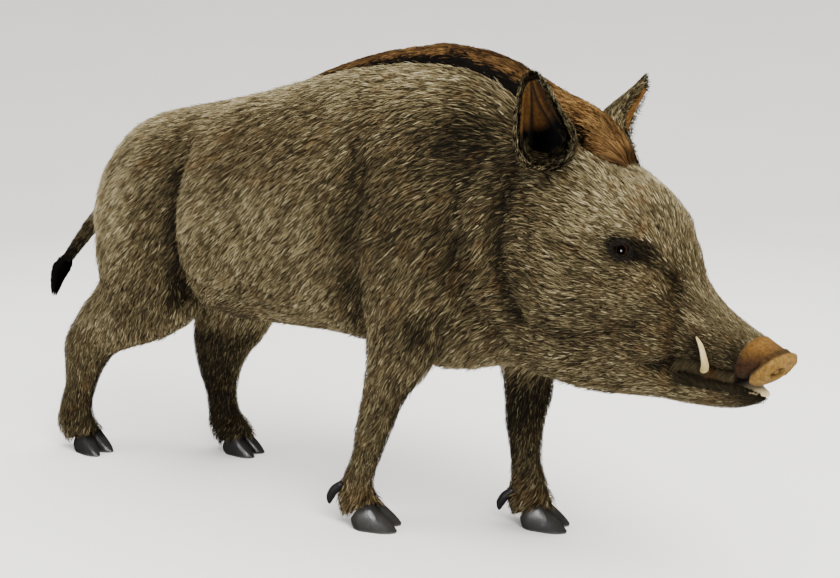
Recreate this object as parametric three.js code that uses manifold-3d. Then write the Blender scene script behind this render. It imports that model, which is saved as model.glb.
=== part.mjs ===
// A life-size stuffed wild boar with a faux-fur coat, standing in mid stride with its head
// turned a little to its own right. Millimetres. +X points forward, +Y to the animal's left
// and +Z up. The shapes are worked out from the floor under the right fore hoof, and the
// whole group is shifted at the end so that the origin is on the floor under the middle.
import * as THREE from 'three';
import { LoftGeometry } from 'three/addons/geometries/LoftGeometry.js';
import { mergeVertices } from 'three/addons/utils/BufferGeometryUtils.js';
import Module from 'manifold-3d';

const wasm = await Module();
wasm.setup();
const { lerp, degToRad } = THREE.MathUtils;

// ---------------------------------------------------------------- driving dimensions

const gap = 0.3; // room between two pieces that touch
const floorZ = 11.5; // the height of the floor in the numbers below
const originShift = { x: 113.8, y: 2.9 };

// How many sides or points go round each kind of form.
const facets = {
  trunk: 26, jaw: 16, leg: 12, toe: 10, claw: 7, tusk: 8, tail: 10, eye: 12, lids: 10, disc: 16,
  nostril: 8, crest: 8, tuft: 6,
};

// The trunk from the tail to the snout, before the head is turned. Each station has a point
// on the spine side, a point on the belly side and half its width. Belt is the height of the
// widest point as a share of the depth, and square says how square it is (2 is an ellipse).
const trunk = {
  tailRoot: { top: [-609, 454], low: [-609, 396], half: 24 },
  seat: { top: [-594, 499], low: [-596, 345], half: 60 },
  rump: { top: [-567, 542], low: [-570, 308], half: 90 },
  croup: { top: [-522, 586], low: [-534, 290], half: 113, square: 2.1 },
  hips: { top: [-462, 612], low: [-466, 286], half: 125, square: 2.1 },
  loin: { top: [-392, 623], low: [-388, 288], half: 130, square: 2.1 },
  flank: { top: [-292, 636], low: [-292, 282], half: 134, belt: 0.48, square: 2.1 },
  girth: { top: [-190, 654], low: [-190, 279], half: 136, belt: 0.47, square: 2.1 },
  ribs: { top: [-95, 670], low: [-95, 279], half: 134, belt: 0.47, square: 2.1 },
  withers: { top: [0, 680], low: [-5, 269], half: 130, belt: 0.46, square: 2.1 },
  shoulder: { top: [80, 679], low: [70, 250], half: 124, belt: 0.46, square: 2.1 },
  brisket: { top: [150, 664], low: [125, 253], half: 114, belt: 0.46, square: 2.1 },
  neck: { top: [218, 625], low: [185, 267], half: 104, belt: 0.47, square: 2.1 },
  nape: { top: [285, 590], low: [245, 263], half: 98, belt: 0.46, square: 2.1 },
  poll: { top: [341, 562], low: [300, 259], half: 92, belt: 0.46, square: 2.1 },
  forehead: { top: [388, 539], low: [350, 260], half: 84, square: 2.1 },
  brow: { top: [426, 508], low: [392, 265], half: 75, belt: 0.55, square: 2.1 },
  nasion: { top: [451, 465], low: [424, 274], half: 62, square: 2.1 },
  bridge: { top: [471, 424], low: [452, 290], half: 52, belt: 0.45, square: 2.1 },
  muzzleRoot: { top: [496, 396], low: [480, 317], half: 45, belt: 0.4, square: 2.2 },
  muzzle: { top: [522, 378], low: [508, 315.5], half: 40, belt: 0.42, square: 2.3 },
  muzzleEnd: { top: [548, 365], low: [533, 313.5], half: 34, belt: 0.46, square: 2.4 },
  cone: { top: [570, 354], low: [545, 312.8], half: 31, square: 2.3 },
  discSeam: { top: [588, 346], low: [553, 314], half: 30, square: 2.1 },
};

// The lower jaw, of the same kind of stations. Its upper side is the line of the mouth.
const jaw = {
  hinge: { top: [400, 326], low: [385, 266], half: 58 },
  cheek: { top: [450, 324], low: [440, 271], half: 50 },
  corner: { top: [480, 317], low: [475, 270], half: 42, belt: 0.6 },
  lip: { top: [512, 313.5], low: [510, 272], half: 34, belt: 0.6 },
  chin: { top: [540, 309.5], low: [540, 278], half: 25, belt: 0.6 },
  lipTip: { top: [564, 299], low: [562, 287.5], half: 9, belt: 0.6 },
};
const mouth = { rear: [452, 318], front: [620, 307.7], depth: 120 };
const lipLining = {
  rear: [508, 309.5], front: [566, 296.5], thickness: 2, inset: 2, behind: 4, reach: 80, width: 120,
};
const lipCut = 30; // how deep the bed of the lining is cut, past the top of the jaw

// The legs, from the body down. Here top is the front edge and low is the rear edge, and out
// is how much further out a station stands than the hoof.
const rightFore = {
  shoulder: { top: [120, 430], low: [-20, 450], half: 40, out: 22 },
  upperArm: { top: [130, 330], low: [-12, 352], half: 42, out: 10 },
  elbow: { top: [98, 264], low: [-8, 284], half: 36 },
  forearm: { top: [54, 212], low: [-14, 222], half: 30 },
  knee: { top: [28, 161], low: [-29, 166], half: 25 },
  cannon: { top: [8, 116], low: [-39, 118], half: 20 },
  fetlock: { top: [-3, 80], low: [-56, 84], half: 21 },
  pastern: { top: [2, 62], low: [-67, 57], half: 23 },
  coronet: { top: [12, 52], low: [-57, 21], half: 25 },
};
const leftFore = {
  shoulder: { top: [190, 430], low: [50, 450], half: 36, out: 20 },
  upperArm: { top: [215, 330], low: [92, 350], half: 40, out: 8 },
  elbow: { top: [214, 258], low: [122, 272], half: 36 },
  forearm: { top: [208, 213], low: [136, 215], half: 30 },
  knee: { top: [197, 163], low: [139, 163], half: 25 },
  cannon: { top: [195, 112], low: [147, 108], half: 20 },
  fetlock: { top: [204, 78], low: [148, 74], half: 21 },
  pastern: { top: [208, 62], low: [143, 52], half: 23 },
  coronet: { top: [215, 51], low: [154, 24], half: 25 },
};
const rightHind = {
  hip: { top: [-400, 500], low: [-528, 500], half: 38, out: 8 },
  thigh: { top: [-362, 400], low: [-562, 400], half: 56, out: 5 },
  stifle: { top: [-354, 300], low: [-571, 330], half: 56 },
  gaskin: { top: [-428, 246], low: [-630, 272], half: 42 },
  aboveHock: { top: [-545, 206], low: [-672, 222], half: 33 },
  hock: { top: [-590, 170], low: [-681, 183], half: 28 },
  cannon: { top: [-615, 130], low: [-686, 134], half: 23 },
  fetlock: { top: [-629, 92], low: [-704, 94], half: 22 },
  pastern: { top: [-621, 66], low: [-715, 58], half: 24 },
  coronet: { top: [-609, 53], low: [-690, 25], half: 26 },
};
const leftHind = {
  hip: { top: [-330, 500], low: [-510, 500], half: 38, out: 8 },
  thigh: { top: [-296, 400], low: [-546, 400], half: 56, out: 6 },
  stifle: { top: [-300, 306], low: [-526, 322], half: 56 },
  gaskin: { top: [-338, 240], low: [-500, 258], half: 42 },
  aboveHock: { top: [-378, 196], low: [-506, 208], half: 32 },
  hock: { top: [-402, 158], low: [-501, 166], half: 27 },
  cannon: { top: [-411, 116], low: [-482, 120], half: 22 },
  fetlock: { top: [-404, 84], low: [-478, 84], half: 22 },
  pastern: { top: [-384, 64], low: [-472, 50], half: 24 },
  coronet: { top: [-374, 52], low: [-452, 23], half: 26 },
};

// Where each leg is parted from the trunk, seen from the side, how far in from the middle
// of the animal the cut reaches above and below the belly, and the heights of the cuts
// between its upper part, its lower part and its foot. toeTurn is how many degrees its hooves
// point to the animal's left.
const bellyCutZ = 290;
const outerY = 260;
const legs = {
  right_fore: {
    side: -1, centre: 70, stations: rightFore, hoofX: 0, toeTurn: 22, dewclaws: { ahead: 2, up: 0 },
    cuts: [172, 92], upperInner: 48, lowerInner: 6,
    parting: [[-100, -20], [-80, 200], [-50, 270], [-36, 330], [-14, 400], [10, 460], [60, 505],
      [118, 490], [158, 430], [172, 340], [150, 250], [110, 200], [90, -20]],
  },
  left_fore: {
    side: 1, centre: 70, stations: leftFore, hoofX: 203, toeTurn: 18, dewclaws: { ahead: 8, up: -9 },
    cuts: [172, 92], upperInner: 48, lowerInner: 6,
    parting: [[90, -20], [100, 200], [80, 270], [58, 330], [48, 400], [60, 460], [105, 505],
      [168, 490], [214, 430], [236, 340], [240, 250], [240, 200], [290, -20]],
  },
  right_hind: {
    side: -1, centre: 72, stations: rightHind, hoofX: -629, toeTurn: 0, dewclaws: null,
    cuts: [212, 100], upperInner: 48, lowerInner: 6,
    parting: [[-780, -20], [-760, 250], [-690, 300], [-650, 380], [-610, 460], [-540, 525],
      [-450, 550], [-380, 535], [-336, 470], [-335, 400], [-322, 330], [-340, 270], [-420, 215],
      [-520, 170], [-540, -20]],
  },
  left_hind: {
    side: 1, centre: 72, stations: leftHind, hoofX: -400, toeTurn: 6, dewclaws: null,
    cuts: [212, 100], upperInner: 48, lowerInner: 6,
    parting: [[-560, -20], [-570, 250], [-570, 330], [-600, 400], [-590, 460], [-530, 525],
      [-440, 550], [-350, 535], [-290, 470], [-262, 400], [-258, 330], [-280, 250], [-330, 180],
      [-320, -20]],
  },
};

// The planes between the parts of the trunk: a point on each, and its lean forward in degrees.
const trunkCuts = {
  hindquarters: { x: -330, z: 450, lean: 0 },
  barrel: { x: -70, z: 450, lean: 0 },
  shoulders: { x: 172, z: 450, lean: 4 },
  neck: { x: 268, z: 450, lean: 8 },
};
const snoutCuts = {
  fur: { x: 541, z: 340, lean: 21 },
  seam: { x: 566.9, z: 332, lean: 45 },
};

const headTurn = { pivot: 200, from: 150, to: 330, degrees: 12.5 };

// One toe of a hoof, from the heel to the tip, ahead of the middle of its foot.
const toe = {
  heel: { top: [-33, 17], low: [-27, -2], half: 6 },
  quarter: { top: [-22, 31], low: [-17, -6], half: 11, belt: 0.35, square: 2.4 },
  crown: { top: [-3, 39], low: [-1, -7], half: 12.6, belt: 0.32, square: 2.4 },
  wall: { top: [13, 27], low: [13, -7], half: 12, belt: 0.32, square: 2.4 },
  front: { top: [27, 14], low: [26, -6], half: 8.6, belt: 0.35, square: 2.4 },
  tip: { top: [36, 4], low: [35, -2], half: 3 },
};
const toeSpread = { offset: 12.6, splay: 4, cleft: 0.6 };
const dewclaw = { root: [-50, 74], tip: [-74, 37], radii: [4.5, 7, 6.4, 2.2], apart: 17, bow: 6 };

const ear = {
  right: { base: [297, 62, 548], tip: [309, 118, 650], openTo: 48 }, // degrees outward
  left: { base: [293, 56, 548], tip: [309, 116, 650], openTo: 28 },
  bow: 7, // how far its middle bends back
  halfWidth: [[-0.14, 12], [-0.04, 25], [0.05, 34], [0.18, 42], [0.34, 42], [0.5, 37], [0.7, 28],
    [0.86, 21], [1, 10]],
  wrap: [[-0.14, 172], [0.06, 168], [0.18, 132], [0.3, 104], [0.46, 88], [0.65, 74], [0.84, 62],
    [1, 50]],
  backDepth: [[-0.14, 36], [0, 38], [0.25, 36], [0.5, 28], [0.75, 16], [1, 6]],
  wall: [[-0.14, 30], [0.03, 30], [0.15, 6], [0.5, 5], [1, 2.5]],
  leastInner: 0.08, // of the outer radius
  levels: 9,
  arcSteps: 8,
};
const eye = { at: [411, 66, 452], radius: 10 };
const lids = { at: [412, 68.5, 452], size: [19, 8, 12], opening: [9.5, 14, 6.4], roll: -12 };
const tusk = {
  path: [[510, 42, 320], [513, 47, 327], [512, 49, 340], [507, 48, 352], [499.5, 46, 361]],
  radii: [5.4, 5, 4, 3.3, 1.5],
  flat: 0.8,
};
const disc = { seam: [566.6, 331.7], radius: 24, half: 30, slope: 45 };
const discBulge = [[0.3, 1], [5, 1.07], [10.5, 0.95], [14.5, 0.64], [16.8, 0.2]];
const nostril = { up: 8, side: 14, size: [4.4, 8, 4.8], depth: 14 };

const tail = {
  path: [[-580, 0, 452], [-632, 0, 447], [-676, 0, 419], [-722, 0, 379], [-765, 0, 340]],
  radii: [17, 16.5, 15, 13, 10],
};
const tuft = {
  path: [[-765, 0, 340], [-784, 0, 321], [-799, 0, 297], [-810, 0, 268]],
  radii: [11, 12.5, 8.5, 1],
};

// The locks of the tuft. A lock starts in the core, and its root, bends and tip lie at these
// shares of the tuft's radius from its middle.
const tuftLocks = {
  seed: 11,
  count: 10,
  core: [9.4, 7.4, 4, 0.8],
  reach: [0.5, 0.68],
  away: [0.4, 0.85, 1.1, 1],
  radii: [3, 4.4, 3.2, 0.4],
  flat: 0.34,
  startSpread: 0.4,
  turn: 2.4, // radians round the tail from one lock to the next
};

// The crest: a strip of long fur sewn on from the middle of the back to the forehead.
const crest = {
  rear: -172, front: 374, half: 26,
  height: [[-172, 2], [-92, 14], [-46, 18], [0, 20], [80, 27], [160, 27], [222, 33], [309, 40],
    [346, 27], [374, 5]],
  sunk: 4, // how far its base line lies under the spine
  under: 14, // how far it is rounded under that line
  coreWidth: 0.86, // its width at no height, as a share of its full width
  fullHeight: 18, // it has its full width from about this height
  levels: 14,
};

// Its locks. Rows of them lie side by side over its section, and each lock starts inside the
// core, sweeps back and ends at the full height of the crest.
const crestLocks = {
  seed: 5,
  coreShare: 0.5,
  rows: [22, 56, 90, 124, 158], // degrees round the section, from the left edge to the right
  pitch: 45,
  jitter: { along: 10, around: 18 }, // mm and degrees
  length: [46, 60],
  spread: 0.22, // a tip lies this much further from the middle than its root, as a share
  steps: [0, 0.3, 0.66, 1], // places along a lock
  height: [0.24, 0.78, 0.98, 0.9], // its height there, as a share of the crest's
  radii: [6, 9.8, 7.8, 0.8],
  flat: 0.3,
};

// ---------------------------------------------------------------- helpers

// The head's turn: a point is swung about an upright line through the neck, by an angle
// that grows smoothly from the shoulders to the nape.
function turned(p) {
  const share = THREE.MathUtils.smoothstep(p.x, headTurn.from, headTurn.to);
  const angle = -degToRad(headTurn.degrees) * share;
  const x = p.x - headTurn.pivot;
  return new THREE.Vector3(
    headTurn.pivot + x * Math.cos(angle) - p.y * Math.sin(angle),
    x * Math.sin(angle) + p.y * Math.cos(angle),
    p.z,
  );
}

// A closed mesh with its shared corners merged becomes a solid that can be joined and cut.
function solid(geometry) {
  const plain = new THREE.BufferGeometry();
  plain.setAttribute('position', geometry.attributes.position);
  if (geometry.index) plain.setIndex(geometry.index);
  const merged = mergeVertices(plain, 1e-4);
  return new wasm.Manifold(new wasm.Mesh({
    numProp: 3,
    vertProperties: new Float32Array(merged.attributes.position.array),
    triVerts: new Uint32Array(merged.index.array),
  }));
}

// The largest closed surface of a solid, as a three.js geometry.
function surface(body) {
  const pieces = body.decompose();
  pieces.sort((a, b) => b.volume() - a.volume());
  const mesh = pieces[0].getMesh();
  const geometry = new THREE.BufferGeometry();
  geometry.setAttribute('position', new THREE.BufferAttribute(mesh.vertProperties, 3));
  geometry.setIndex(new THREE.BufferAttribute(mesh.triVerts, 1));
  geometry.computeVertexNormals();
  return geometry;
}

const union = (bodies) => bodies.reduce((whole, body) => whole.add(body));
const power = (value, square) => Math.sign(value) * Math.abs(value) ** (2 / square);

// A value read from a short table of [place, value] rows, joined by straight lines.
function along(table, place) {
  const next = Math.max(1, table.findIndex((row) => row[0] >= place));
  const [from, to] = place >= table.at(-1)[0] ? table.slice(-2) : [table[next - 1], table[next]];
  const share = THREE.MathUtils.clamp((place - from[0]) / (to[0] - from[0]), 0, 1);
  return lerp(from[1], to[1], share);
}

// A smooth curve through one value of each station.
function through(stations, pick) {
  return new THREE.CatmullRomCurve3(Object.values(stations).map(pick), false, 'catmullrom', 0.5);
}

// A closed form through stations: smooth curves run through the top points, the low points
// and the sizes, and every ring is a rounded section between its top and its low point.
function loftStations(stations, { sides, steps, side = 1, centre = 0, grow = 0, bend = (p) => p }) {
  const across = (s) => side * (centre + (s.out ?? 0));
  const tops = through(stations, (s) => new THREE.Vector3(s.top[0], across(s), s.top[1]));
  const lows = through(stations, (s) => new THREE.Vector3(s.low[0], across(s), s.low[1]));
  const sizes = through(stations, (s) => new THREE.Vector3(s.half, s.belt ?? 0.5, s.square ?? 2));
  const count = (Object.keys(stations).length - 1) * steps;
  const sections = [];
  for (let i = 0; i <= count; i += 1) {
    const top = tops.getPoint(i / count);
    const low = lows.getPoint(i / count);
    const size = sizes.getPoint(i / count);
    const out = top.clone().sub(low).setLength(grow);
    top.add(out);
    low.sub(out);
    const middle = low.clone().lerp(top, size.y);
    const ring = [];
    for (let k = 0; k < sides; k += 1) {
      const angle = (2 * Math.PI * k) / sides;
      const rise = power(Math.sin(angle), size.z);
      const point = middle.clone().lerp(rise > 0 ? top : low, Math.abs(rise));
      point.y += (size.x + grow) * power(Math.cos(angle), size.z);
      ring.push(bend(point));
    }
    sections.push(ring);
  }
  return solid(new LoftGeometry(sections, { closed: true, capStart: true, capEnd: true }));
}

// A tapered form along a path of points, oval where a flatness below 1 is given. Its wide
// side lies along the given vector.
function taper(path, radii, { sides = 8, steps = 3, grow = 0, wide = [0, 1, 0], flat = 1 } = {}) {
  const line = new THREE.CatmullRomCurve3(path.map((p) => new THREE.Vector3(...p)));
  const sizes = radii.map((r, i) => [i / (radii.length - 1), r]);
  const count = (path.length - 1) * steps;
  const sections = [];
  for (let i = 0; i <= count; i += 1) {
    const centre = line.getPoint(i / count);
    const ahead = line.getTangent(i / count);
    const normal = ahead.clone().cross(new THREE.Vector3(...wide)).normalize();
    const across = normal.clone().cross(ahead);
    const radius = along(sizes, i / count) + grow;
    const ring = [];
    for (let k = 0; k < sides; k += 1) {
      const angle = (2 * Math.PI * k) / sides;
      const point = centre.clone().addScaledVector(across, radius * Math.cos(angle));
      ring.push(point.addScaledVector(normal, radius * flat * Math.sin(angle)));
    }
    sections.push(ring);
  }
  return new LoftGeometry(sections, { closed: true, capStart: true, capEnd: true });
}

// Moves every corner of a geometry by a function.
function moved(geometry, move) {
  const places = geometry.attributes.position;
  const point = new THREE.Vector3();
  for (let i = 0; i < places.count; i += 1) {
    point.copy(move(point.fromBufferAttribute(places, i)));
    places.setXYZ(i, point.x, point.y, point.z);
  }
  return geometry;
}

// A side view outline carried across the animal, from one distance off its middle to another.
function prism(outline, side, inner, outer, grow = 0) {
  const shape = new THREE.Shape(outline.map(([x, z], i) => {
    const before = outline.at(i - 1);
    const after = outline[(i + 1) % outline.length];
    const edge = new THREE.Vector2(after[0] - before[0], after[1] - before[1]).normalize();
    return new THREE.Vector2(x - edge.y * grow, z + edge.x * grow);
  }));
  const from = inner - grow;
  const geometry = new THREE.ExtrudeGeometry(shape, { depth: outer - from, bevelEnabled: false });
  geometry.rotateX(Math.PI / 2);
  geometry.translate(0, side > 0 ? outer : -from, 0);
  return solid(geometry);
}

// The part of a body behind or ahead of an upright plane that leans forward at its top, and
// that turns with the head where it stands in it.
function parted(body, cut, ahead, room = gap / 2) {
  const lean = degToRad(cut.lean);
  const point = turned(new THREE.Vector3(cut.x, 0, cut.z));
  const direction = turned(new THREE.Vector3(cut.x + 1, 0, cut.z)).sub(point).setZ(0).normalize();
  const normal = direction.multiplyScalar(Math.cos(lean)).setZ(-Math.sin(lean));
  const sign = ahead ? 1 : -1;
  const facing = normal.clone().multiplyScalar(sign);
  return body.trimByPlane(facing.toArray(), facing.dot(point) + room);
}

// An ellipsoid that turns with the head.
function headBall({ at, side, size, grow = 0, roll = 0, detail = facets.eye }) {
  const geometry = new THREE.SphereGeometry(1, detail, Math.round(detail * 0.6));
  geometry.scale(size[0] + grow, size[1] + grow, size[2] + grow);
  geometry.rotateY(degToRad(-roll));
  geometry.translate(at[0], side * at[1], at[2]);
  return solid(moved(geometry, turned));
}

// ---------------------------------------------------------------- flesh

const trunkForm = (grow = 0) => (
  loftStations(trunk, { sides: facets.trunk, steps: 2, grow, bend: turned })
);
const jawForm = (grow = 0) => (
  loftStations(jaw, { sides: facets.jaw, steps: 2, grow, bend: turned })
);
const legForm = ({ stations, side, centre }, grow = 0) => (
  loftStations(stations, { sides: facets.leg, steps: 2, side, centre, grow })
);
const flesh = (grow = 0) => union([
  trunkForm(grow), jawForm(grow), ...Object.values(legs).map((leg) => legForm(leg, grow)),
]);

// The space that belongs to a leg: deep above the belly, and to the middle below it.
function legSpace(leg, grow = 0) {
  const whole = prism(leg.parting, leg.side, leg.upperInner, outerY, grow);
  const below = prism(leg.parting, leg.side, leg.lowerInner, outerY, grow);
  return whole.add(below.trimByPlane([0, 0, -1], -(bellyCutZ + grow)));
}

// The space that belongs to the jaw: all that is under the line of the mouth.
function jawSpace(grow = 0) {
  const { rear, front, depth } = mouth;
  const long = front[0] - rear[0];
  const box = new THREE.BoxGeometry(long + 2 * grow, 2 * outerY, depth + 2 * grow);
  box.translate(long / 2, 0, -depth / 2);
  box.rotateY(Math.atan2(rear[1] - front[1], long));
  box.translate(rear[0], 0, rear[1]);
  return solid(moved(box, turned));
}

// ---------------------------------------------------------------- hooves, claws and ivory

function toeForm(leg, inside, grow = 0) {
  const geometry = loftStations(toe, { sides: facets.toe, steps: 1, grow });
  const turn = inside * leg.side * -toeSpread.splay;
  const y = leg.side * (leg.centre - inside * toeSpread.offset);
  const cleft = -inside * leg.side * (toeSpread.cleft - grow);
  return geometry
    .rotate([0, 0, turn])
    .translate([0, y - leg.side * leg.centre, floorZ])
    .trimByPlane([0, -inside * leg.side, 0], -inside * leg.side * cleft)
    .trimByPlane([0, 0, 1], floorZ - grow)
    .rotate([0, 0, leg.toeTurn])
    .translate([leg.hoofX, leg.side * leg.centre, 0]);
}

function dewclawForm(leg, inside, grow = 0) {
  const { root, tip, radii, apart, bow } = dewclaw;
  const y = leg.side * (leg.centre - inside * apart);
  const path = radii.map((r, i) => {
    const share = i / (radii.length - 1);
    const drop = lerp(root[1], tip[1], share) + leg.dewclaws.up;
    const back = lerp(root[0], tip[0], share) + leg.dewclaws.ahead;
    return [leg.hoofX + back - bow * Math.sin(Math.PI * share), y, drop];
  });
  return solid(taper(path, radii, { sides: facets.claw, steps: 1, grow }));
}

function tuskForm(side, grow = 0) {
  const path = tusk.path.map(([x, y, z]) => [x, side * y, z]);
  const geometry = taper(path, tusk.radii, { sides: facets.tusk, steps: 1, grow, flat: tusk.flat });
  return solid(moved(geometry, turned));
}

// ---------------------------------------------------------------- ears

// A cup: every level is an arc with a wall, open to the front and outside, wrapped nearly
// shut at the root and opening out towards the tip.
function earForm(side) {
  const own = side > 0 ? ear.left : ear.right;
  const base = new THREE.Vector3(own.base[0], side * own.base[1], own.base[2]);
  const tip = new THREE.Vector3(own.tip[0], side * own.tip[1], own.tip[2]);
  const rise = tip.clone().sub(base);
  const up = rise.clone().normalize();
  const outward = degToRad(own.openTo);
  const open = new THREE.Vector3(Math.cos(outward), side * Math.sin(outward), 0);
  open.addScaledVector(up, -open.dot(up)).normalize();
  const across = open.clone().cross(up).multiplyScalar(side);
  const { levels, arcSteps } = ear;
  const lowest = ear.halfWidth[0][0];
  const sections = [];
  for (let i = 0; i <= levels; i += 1) {
    const height = lerp(lowest, 1, i / levels);
    const wrap = degToRad(along(ear.wrap, height));
    const half = along(ear.halfWidth, height);
    const radius = half / Math.sin(Math.min(wrap, Math.PI / 2));
    const inner = Math.max(radius - along(ear.wall, height), radius * ear.leastInner);
    const centre = base.clone().addScaledVector(rise, height);
    centre.x -= ear.bow * Math.sin(Math.PI * Math.max(height, 0));
    centre.addScaledVector(open, radius - along(ear.backDepth, height));
    const arc = (r, direction) => Array.from({ length: arcSteps }, (_, k) => {
      const angle = direction * wrap * ((2 * k) / (arcSteps - 1) - 1);
      return centre.clone()
        .addScaledVector(open, -r * Math.cos(angle))
        .addScaledVector(across, side * r * Math.sin(angle));
    });
    sections.push([...arc(radius, 1), ...arc(inner, -1)].map(turned));
  }
  return solid(new LoftGeometry(sections, { closed: true, capStart: true, capEnd: true }));
}

// ---------------------------------------------------------------- snout disc

function discForm() {
  const slope = degToRad(disc.slope);
  const rise = new THREE.Vector3(Math.cos(slope), 0, Math.sin(slope));
  const out = new THREE.Vector3(Math.sin(slope), 0, -Math.cos(slope));
  const sections = discBulge.map(([ahead, share]) => {
    const centre = new THREE.Vector3(disc.seam[0], 0, disc.seam[1]).addScaledVector(out, ahead);
    return Array.from({ length: facets.disc }, (_, k) => {
      const angle = (2 * Math.PI * k) / facets.disc;
      const point = centre.clone().addScaledVector(rise, disc.radius * share * Math.sin(angle));
      point.y += disc.half * share * Math.cos(angle);
      return turned(point);
    });
  });
  const body = solid(new LoftGeometry(sections, { closed: true, capStart: true, capEnd: true }));
  const hole = (side) => {
    const geometry = new THREE.SphereGeometry(1, facets.nostril, 6);
    geometry.scale(...nostril.size);
    geometry.rotateY(slope);
    geometry.translate(0, side * nostril.side, 0);
    const centre = new THREE.Vector3(disc.seam[0], 0, disc.seam[1])
      .addScaledVector(out, nostril.depth).addScaledVector(rise, nostril.up);
    geometry.translate(centre.x, centre.y, centre.z);
    return solid(moved(geometry, turned));
  };
  return body.subtract(hole(1)).subtract(hole(-1));
}

// ---------------------------------------------------------------- crest and tail tuft

// The point and the direction of the spine line at a distance along the animal.
const spine = through(trunk, (s) => new THREE.Vector3(s.top[0], 0, s.top[1]));
function spineAt(x) {
  let low = 0;
  let high = 1;
  for (let i = 0; i < 30; i += 1) {
    const middle = (low + high) / 2;
    if (spine.getPoint(middle).x < x) low = middle;
    else high = middle;
  }
  return { point: spine.getPoint(low), ahead: spine.getTangent(low) };
}

// A point of the rounded ridge along the spine, as high as a share of the crest. The angle
// goes round its section from the left edge over the top.
function ridgePoint(x, angle, share) {
  const { point, ahead } = spineAt(x);
  const up = new THREE.Vector3(-ahead.z, 0, ahead.x);
  const full = along(crest.height, x);
  const rise = Math.sin(angle);
  const lift = rise > 0 ? full * share * rise ** 0.8 : crest.under * rise;
  const half = crest.half * Math.min(1, 0.45 + full / crest.fullHeight);
  point.addScaledVector(up, lift - crest.sunk);
  point.y += half * lerp(crest.coreWidth, 1, share) * Math.cos(angle);
  return turned(point);
}

function crestRidge(share) {
  const sections = [];
  for (let i = 0; i <= crest.levels; i += 1) {
    const x = lerp(crest.rear, crest.front, i / crest.levels);
    sections.push(Array.from({ length: facets.crest }, (_, k) => (
      ridgePoint(x, (2 * Math.PI * k) / facets.crest, share)
    )));
  }
  return solid(new LoftGeometry(sections, { closed: true, capStart: true, capEnd: true }));
}

// The same draws between 0 and 1 on every run.
function seeded(seed) {
  let state = seed;
  return () => {
    state = (Math.imul(state, 1664525) + 1013904223) >>> 0;
    return state / 2 ** 32;
  };
}

function crestLockForms() {
  const draw = seeded(crestLocks.seed);
  const { rows, pitch, jitter, length, spread, steps, height, radii, flat } = crestLocks;
  const forms = [];
  for (const [r, row] of rows.entries()) {
    for (let x = crest.front - (r % 2) * pitch / 2; x > crest.rear + length[0]; x -= pitch) {
      const root = Math.min(x + (draw() - 0.5) * jitter.along, crest.front);
      const reach = lerp(...length, draw());
      const side = row - 90 + (draw() - 0.5) * jitter.around;
      const around = (step) => degToRad(90 + side * (1 + spread * step));
      const path = steps.map((step, i) => (
        ridgePoint(root - reach * step, around(step), height[i]).toArray()
      ));
      const [, bend] = steps;
      const beside = (turn) => ridgePoint(root - reach * bend, around(bend) + turn, 1);
      const wide = beside(0.1).sub(beside(-0.1)).normalize().toArray();
      forms.push(solid(taper(path, radii, { sides: 4, steps: 1, wide, flat })));
    }
  }
  return forms;
}

// Locks that start in the tuft's core and run along the tail, all round it.
function tuftLockForms() {
  const draw = seeded(tuftLocks.seed);
  const line = new THREE.CatmullRomCurve3(tuft.path.map((p) => new THREE.Vector3(...p)));
  const sizes = tuft.radii.map((r, i) => [i / (tuft.radii.length - 1), r]);
  const { count, reach, away, radii, flat } = tuftLocks;
  return Array.from({ length: count }, (_, i) => {
    const from = (tuftLocks.startSpread * i) / count;
    const angle = i * tuftLocks.turn;
    const long = lerp(...reach, draw());
    const radial = new THREE.Vector3();
    const path = away.map((share, k) => {
      const place = Math.min(1, from + (long * k) / (away.length - 1));
      const ahead = line.getTangent(place);
      const up = new THREE.Vector3(-ahead.z, 0, ahead.x);
      radial.set(0, Math.cos(angle), 0).addScaledVector(up, Math.sin(angle));
      return line.getPoint(place).addScaledVector(radial, along(sizes, place) * share).toArray();
    });
    const wide = radial.clone().cross(line.getTangent(from)).toArray();
    return solid(taper(path, radii, { sides: 4, steps: 1, wide, flat }));
  });
}

// ---------------------------------------------------------------- the whole animal

const group = new THREE.Group();
const coat = 0x7a7059;
const darkCoat = 0x4d4433;
const crestBrown = 0x6b4526;
const velour = 0xa87848;
const hoofGrey = 0x3b3a3d;
const ivory = 0xe9e2cf;
const feltCream = 0xd8c49a;
const black = 0x120e0b;

function addNode(name, body, color, roughness = 0.95) {
  const material = new THREE.MeshStandardMaterial({ color, roughness, metalness: 0 });
  const mesh = new THREE.Mesh(surface(body), material);
  mesh.name = name;
  group.add(mesh);
}

const wholeFlesh = flesh();
const roomyFlesh = flesh(gap);
const sides = [['right', -1], ['left', 1]];

// Each leg with its hooves.
for (const [name, leg] of Object.entries(legs)) {
  const insides = [['outer', -1], ['inner', 1]];
  let flank = wholeFlesh.intersect(legSpace(leg));
  for (const [, inside] of insides) {
    flank = flank.subtract(toeForm(leg, inside, gap));
    if (leg.dewclaws) flank = flank.subtract(dewclawForm(leg, inside, gap));
  }
  const [high, low] = leg.cuts;
  addNode(`${name}_leg_upper`, flank.trimByPlane([0, 0, 1], high + gap / 2), coat);
  const lower = flank.trimByPlane([0, 0, -1], -high + gap / 2);
  addNode(`${name}_leg_lower`, lower.trimByPlane([0, 0, 1], low + gap / 2), coat);
  addNode(`${name}_foot`, lower.trimByPlane([0, 0, -1], -low + gap / 2), darkCoat);
  for (const [place, inside] of insides) {
    addNode(`${name}_hoof_${place}`, toeForm(leg, inside), hoofGrey, 0.45);
    if (leg.dewclaws) addNode(`${name}_dewclaw_${place}`, dewclawForm(leg, inside), hoofGrey, 0.45);
  }
}

const eyeSize = [eye.radius, eye.radius, eye.radius];
const eyeForm = (side, grow) => headBall({ at: eye.at, side, size: eyeSize, grow });

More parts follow.
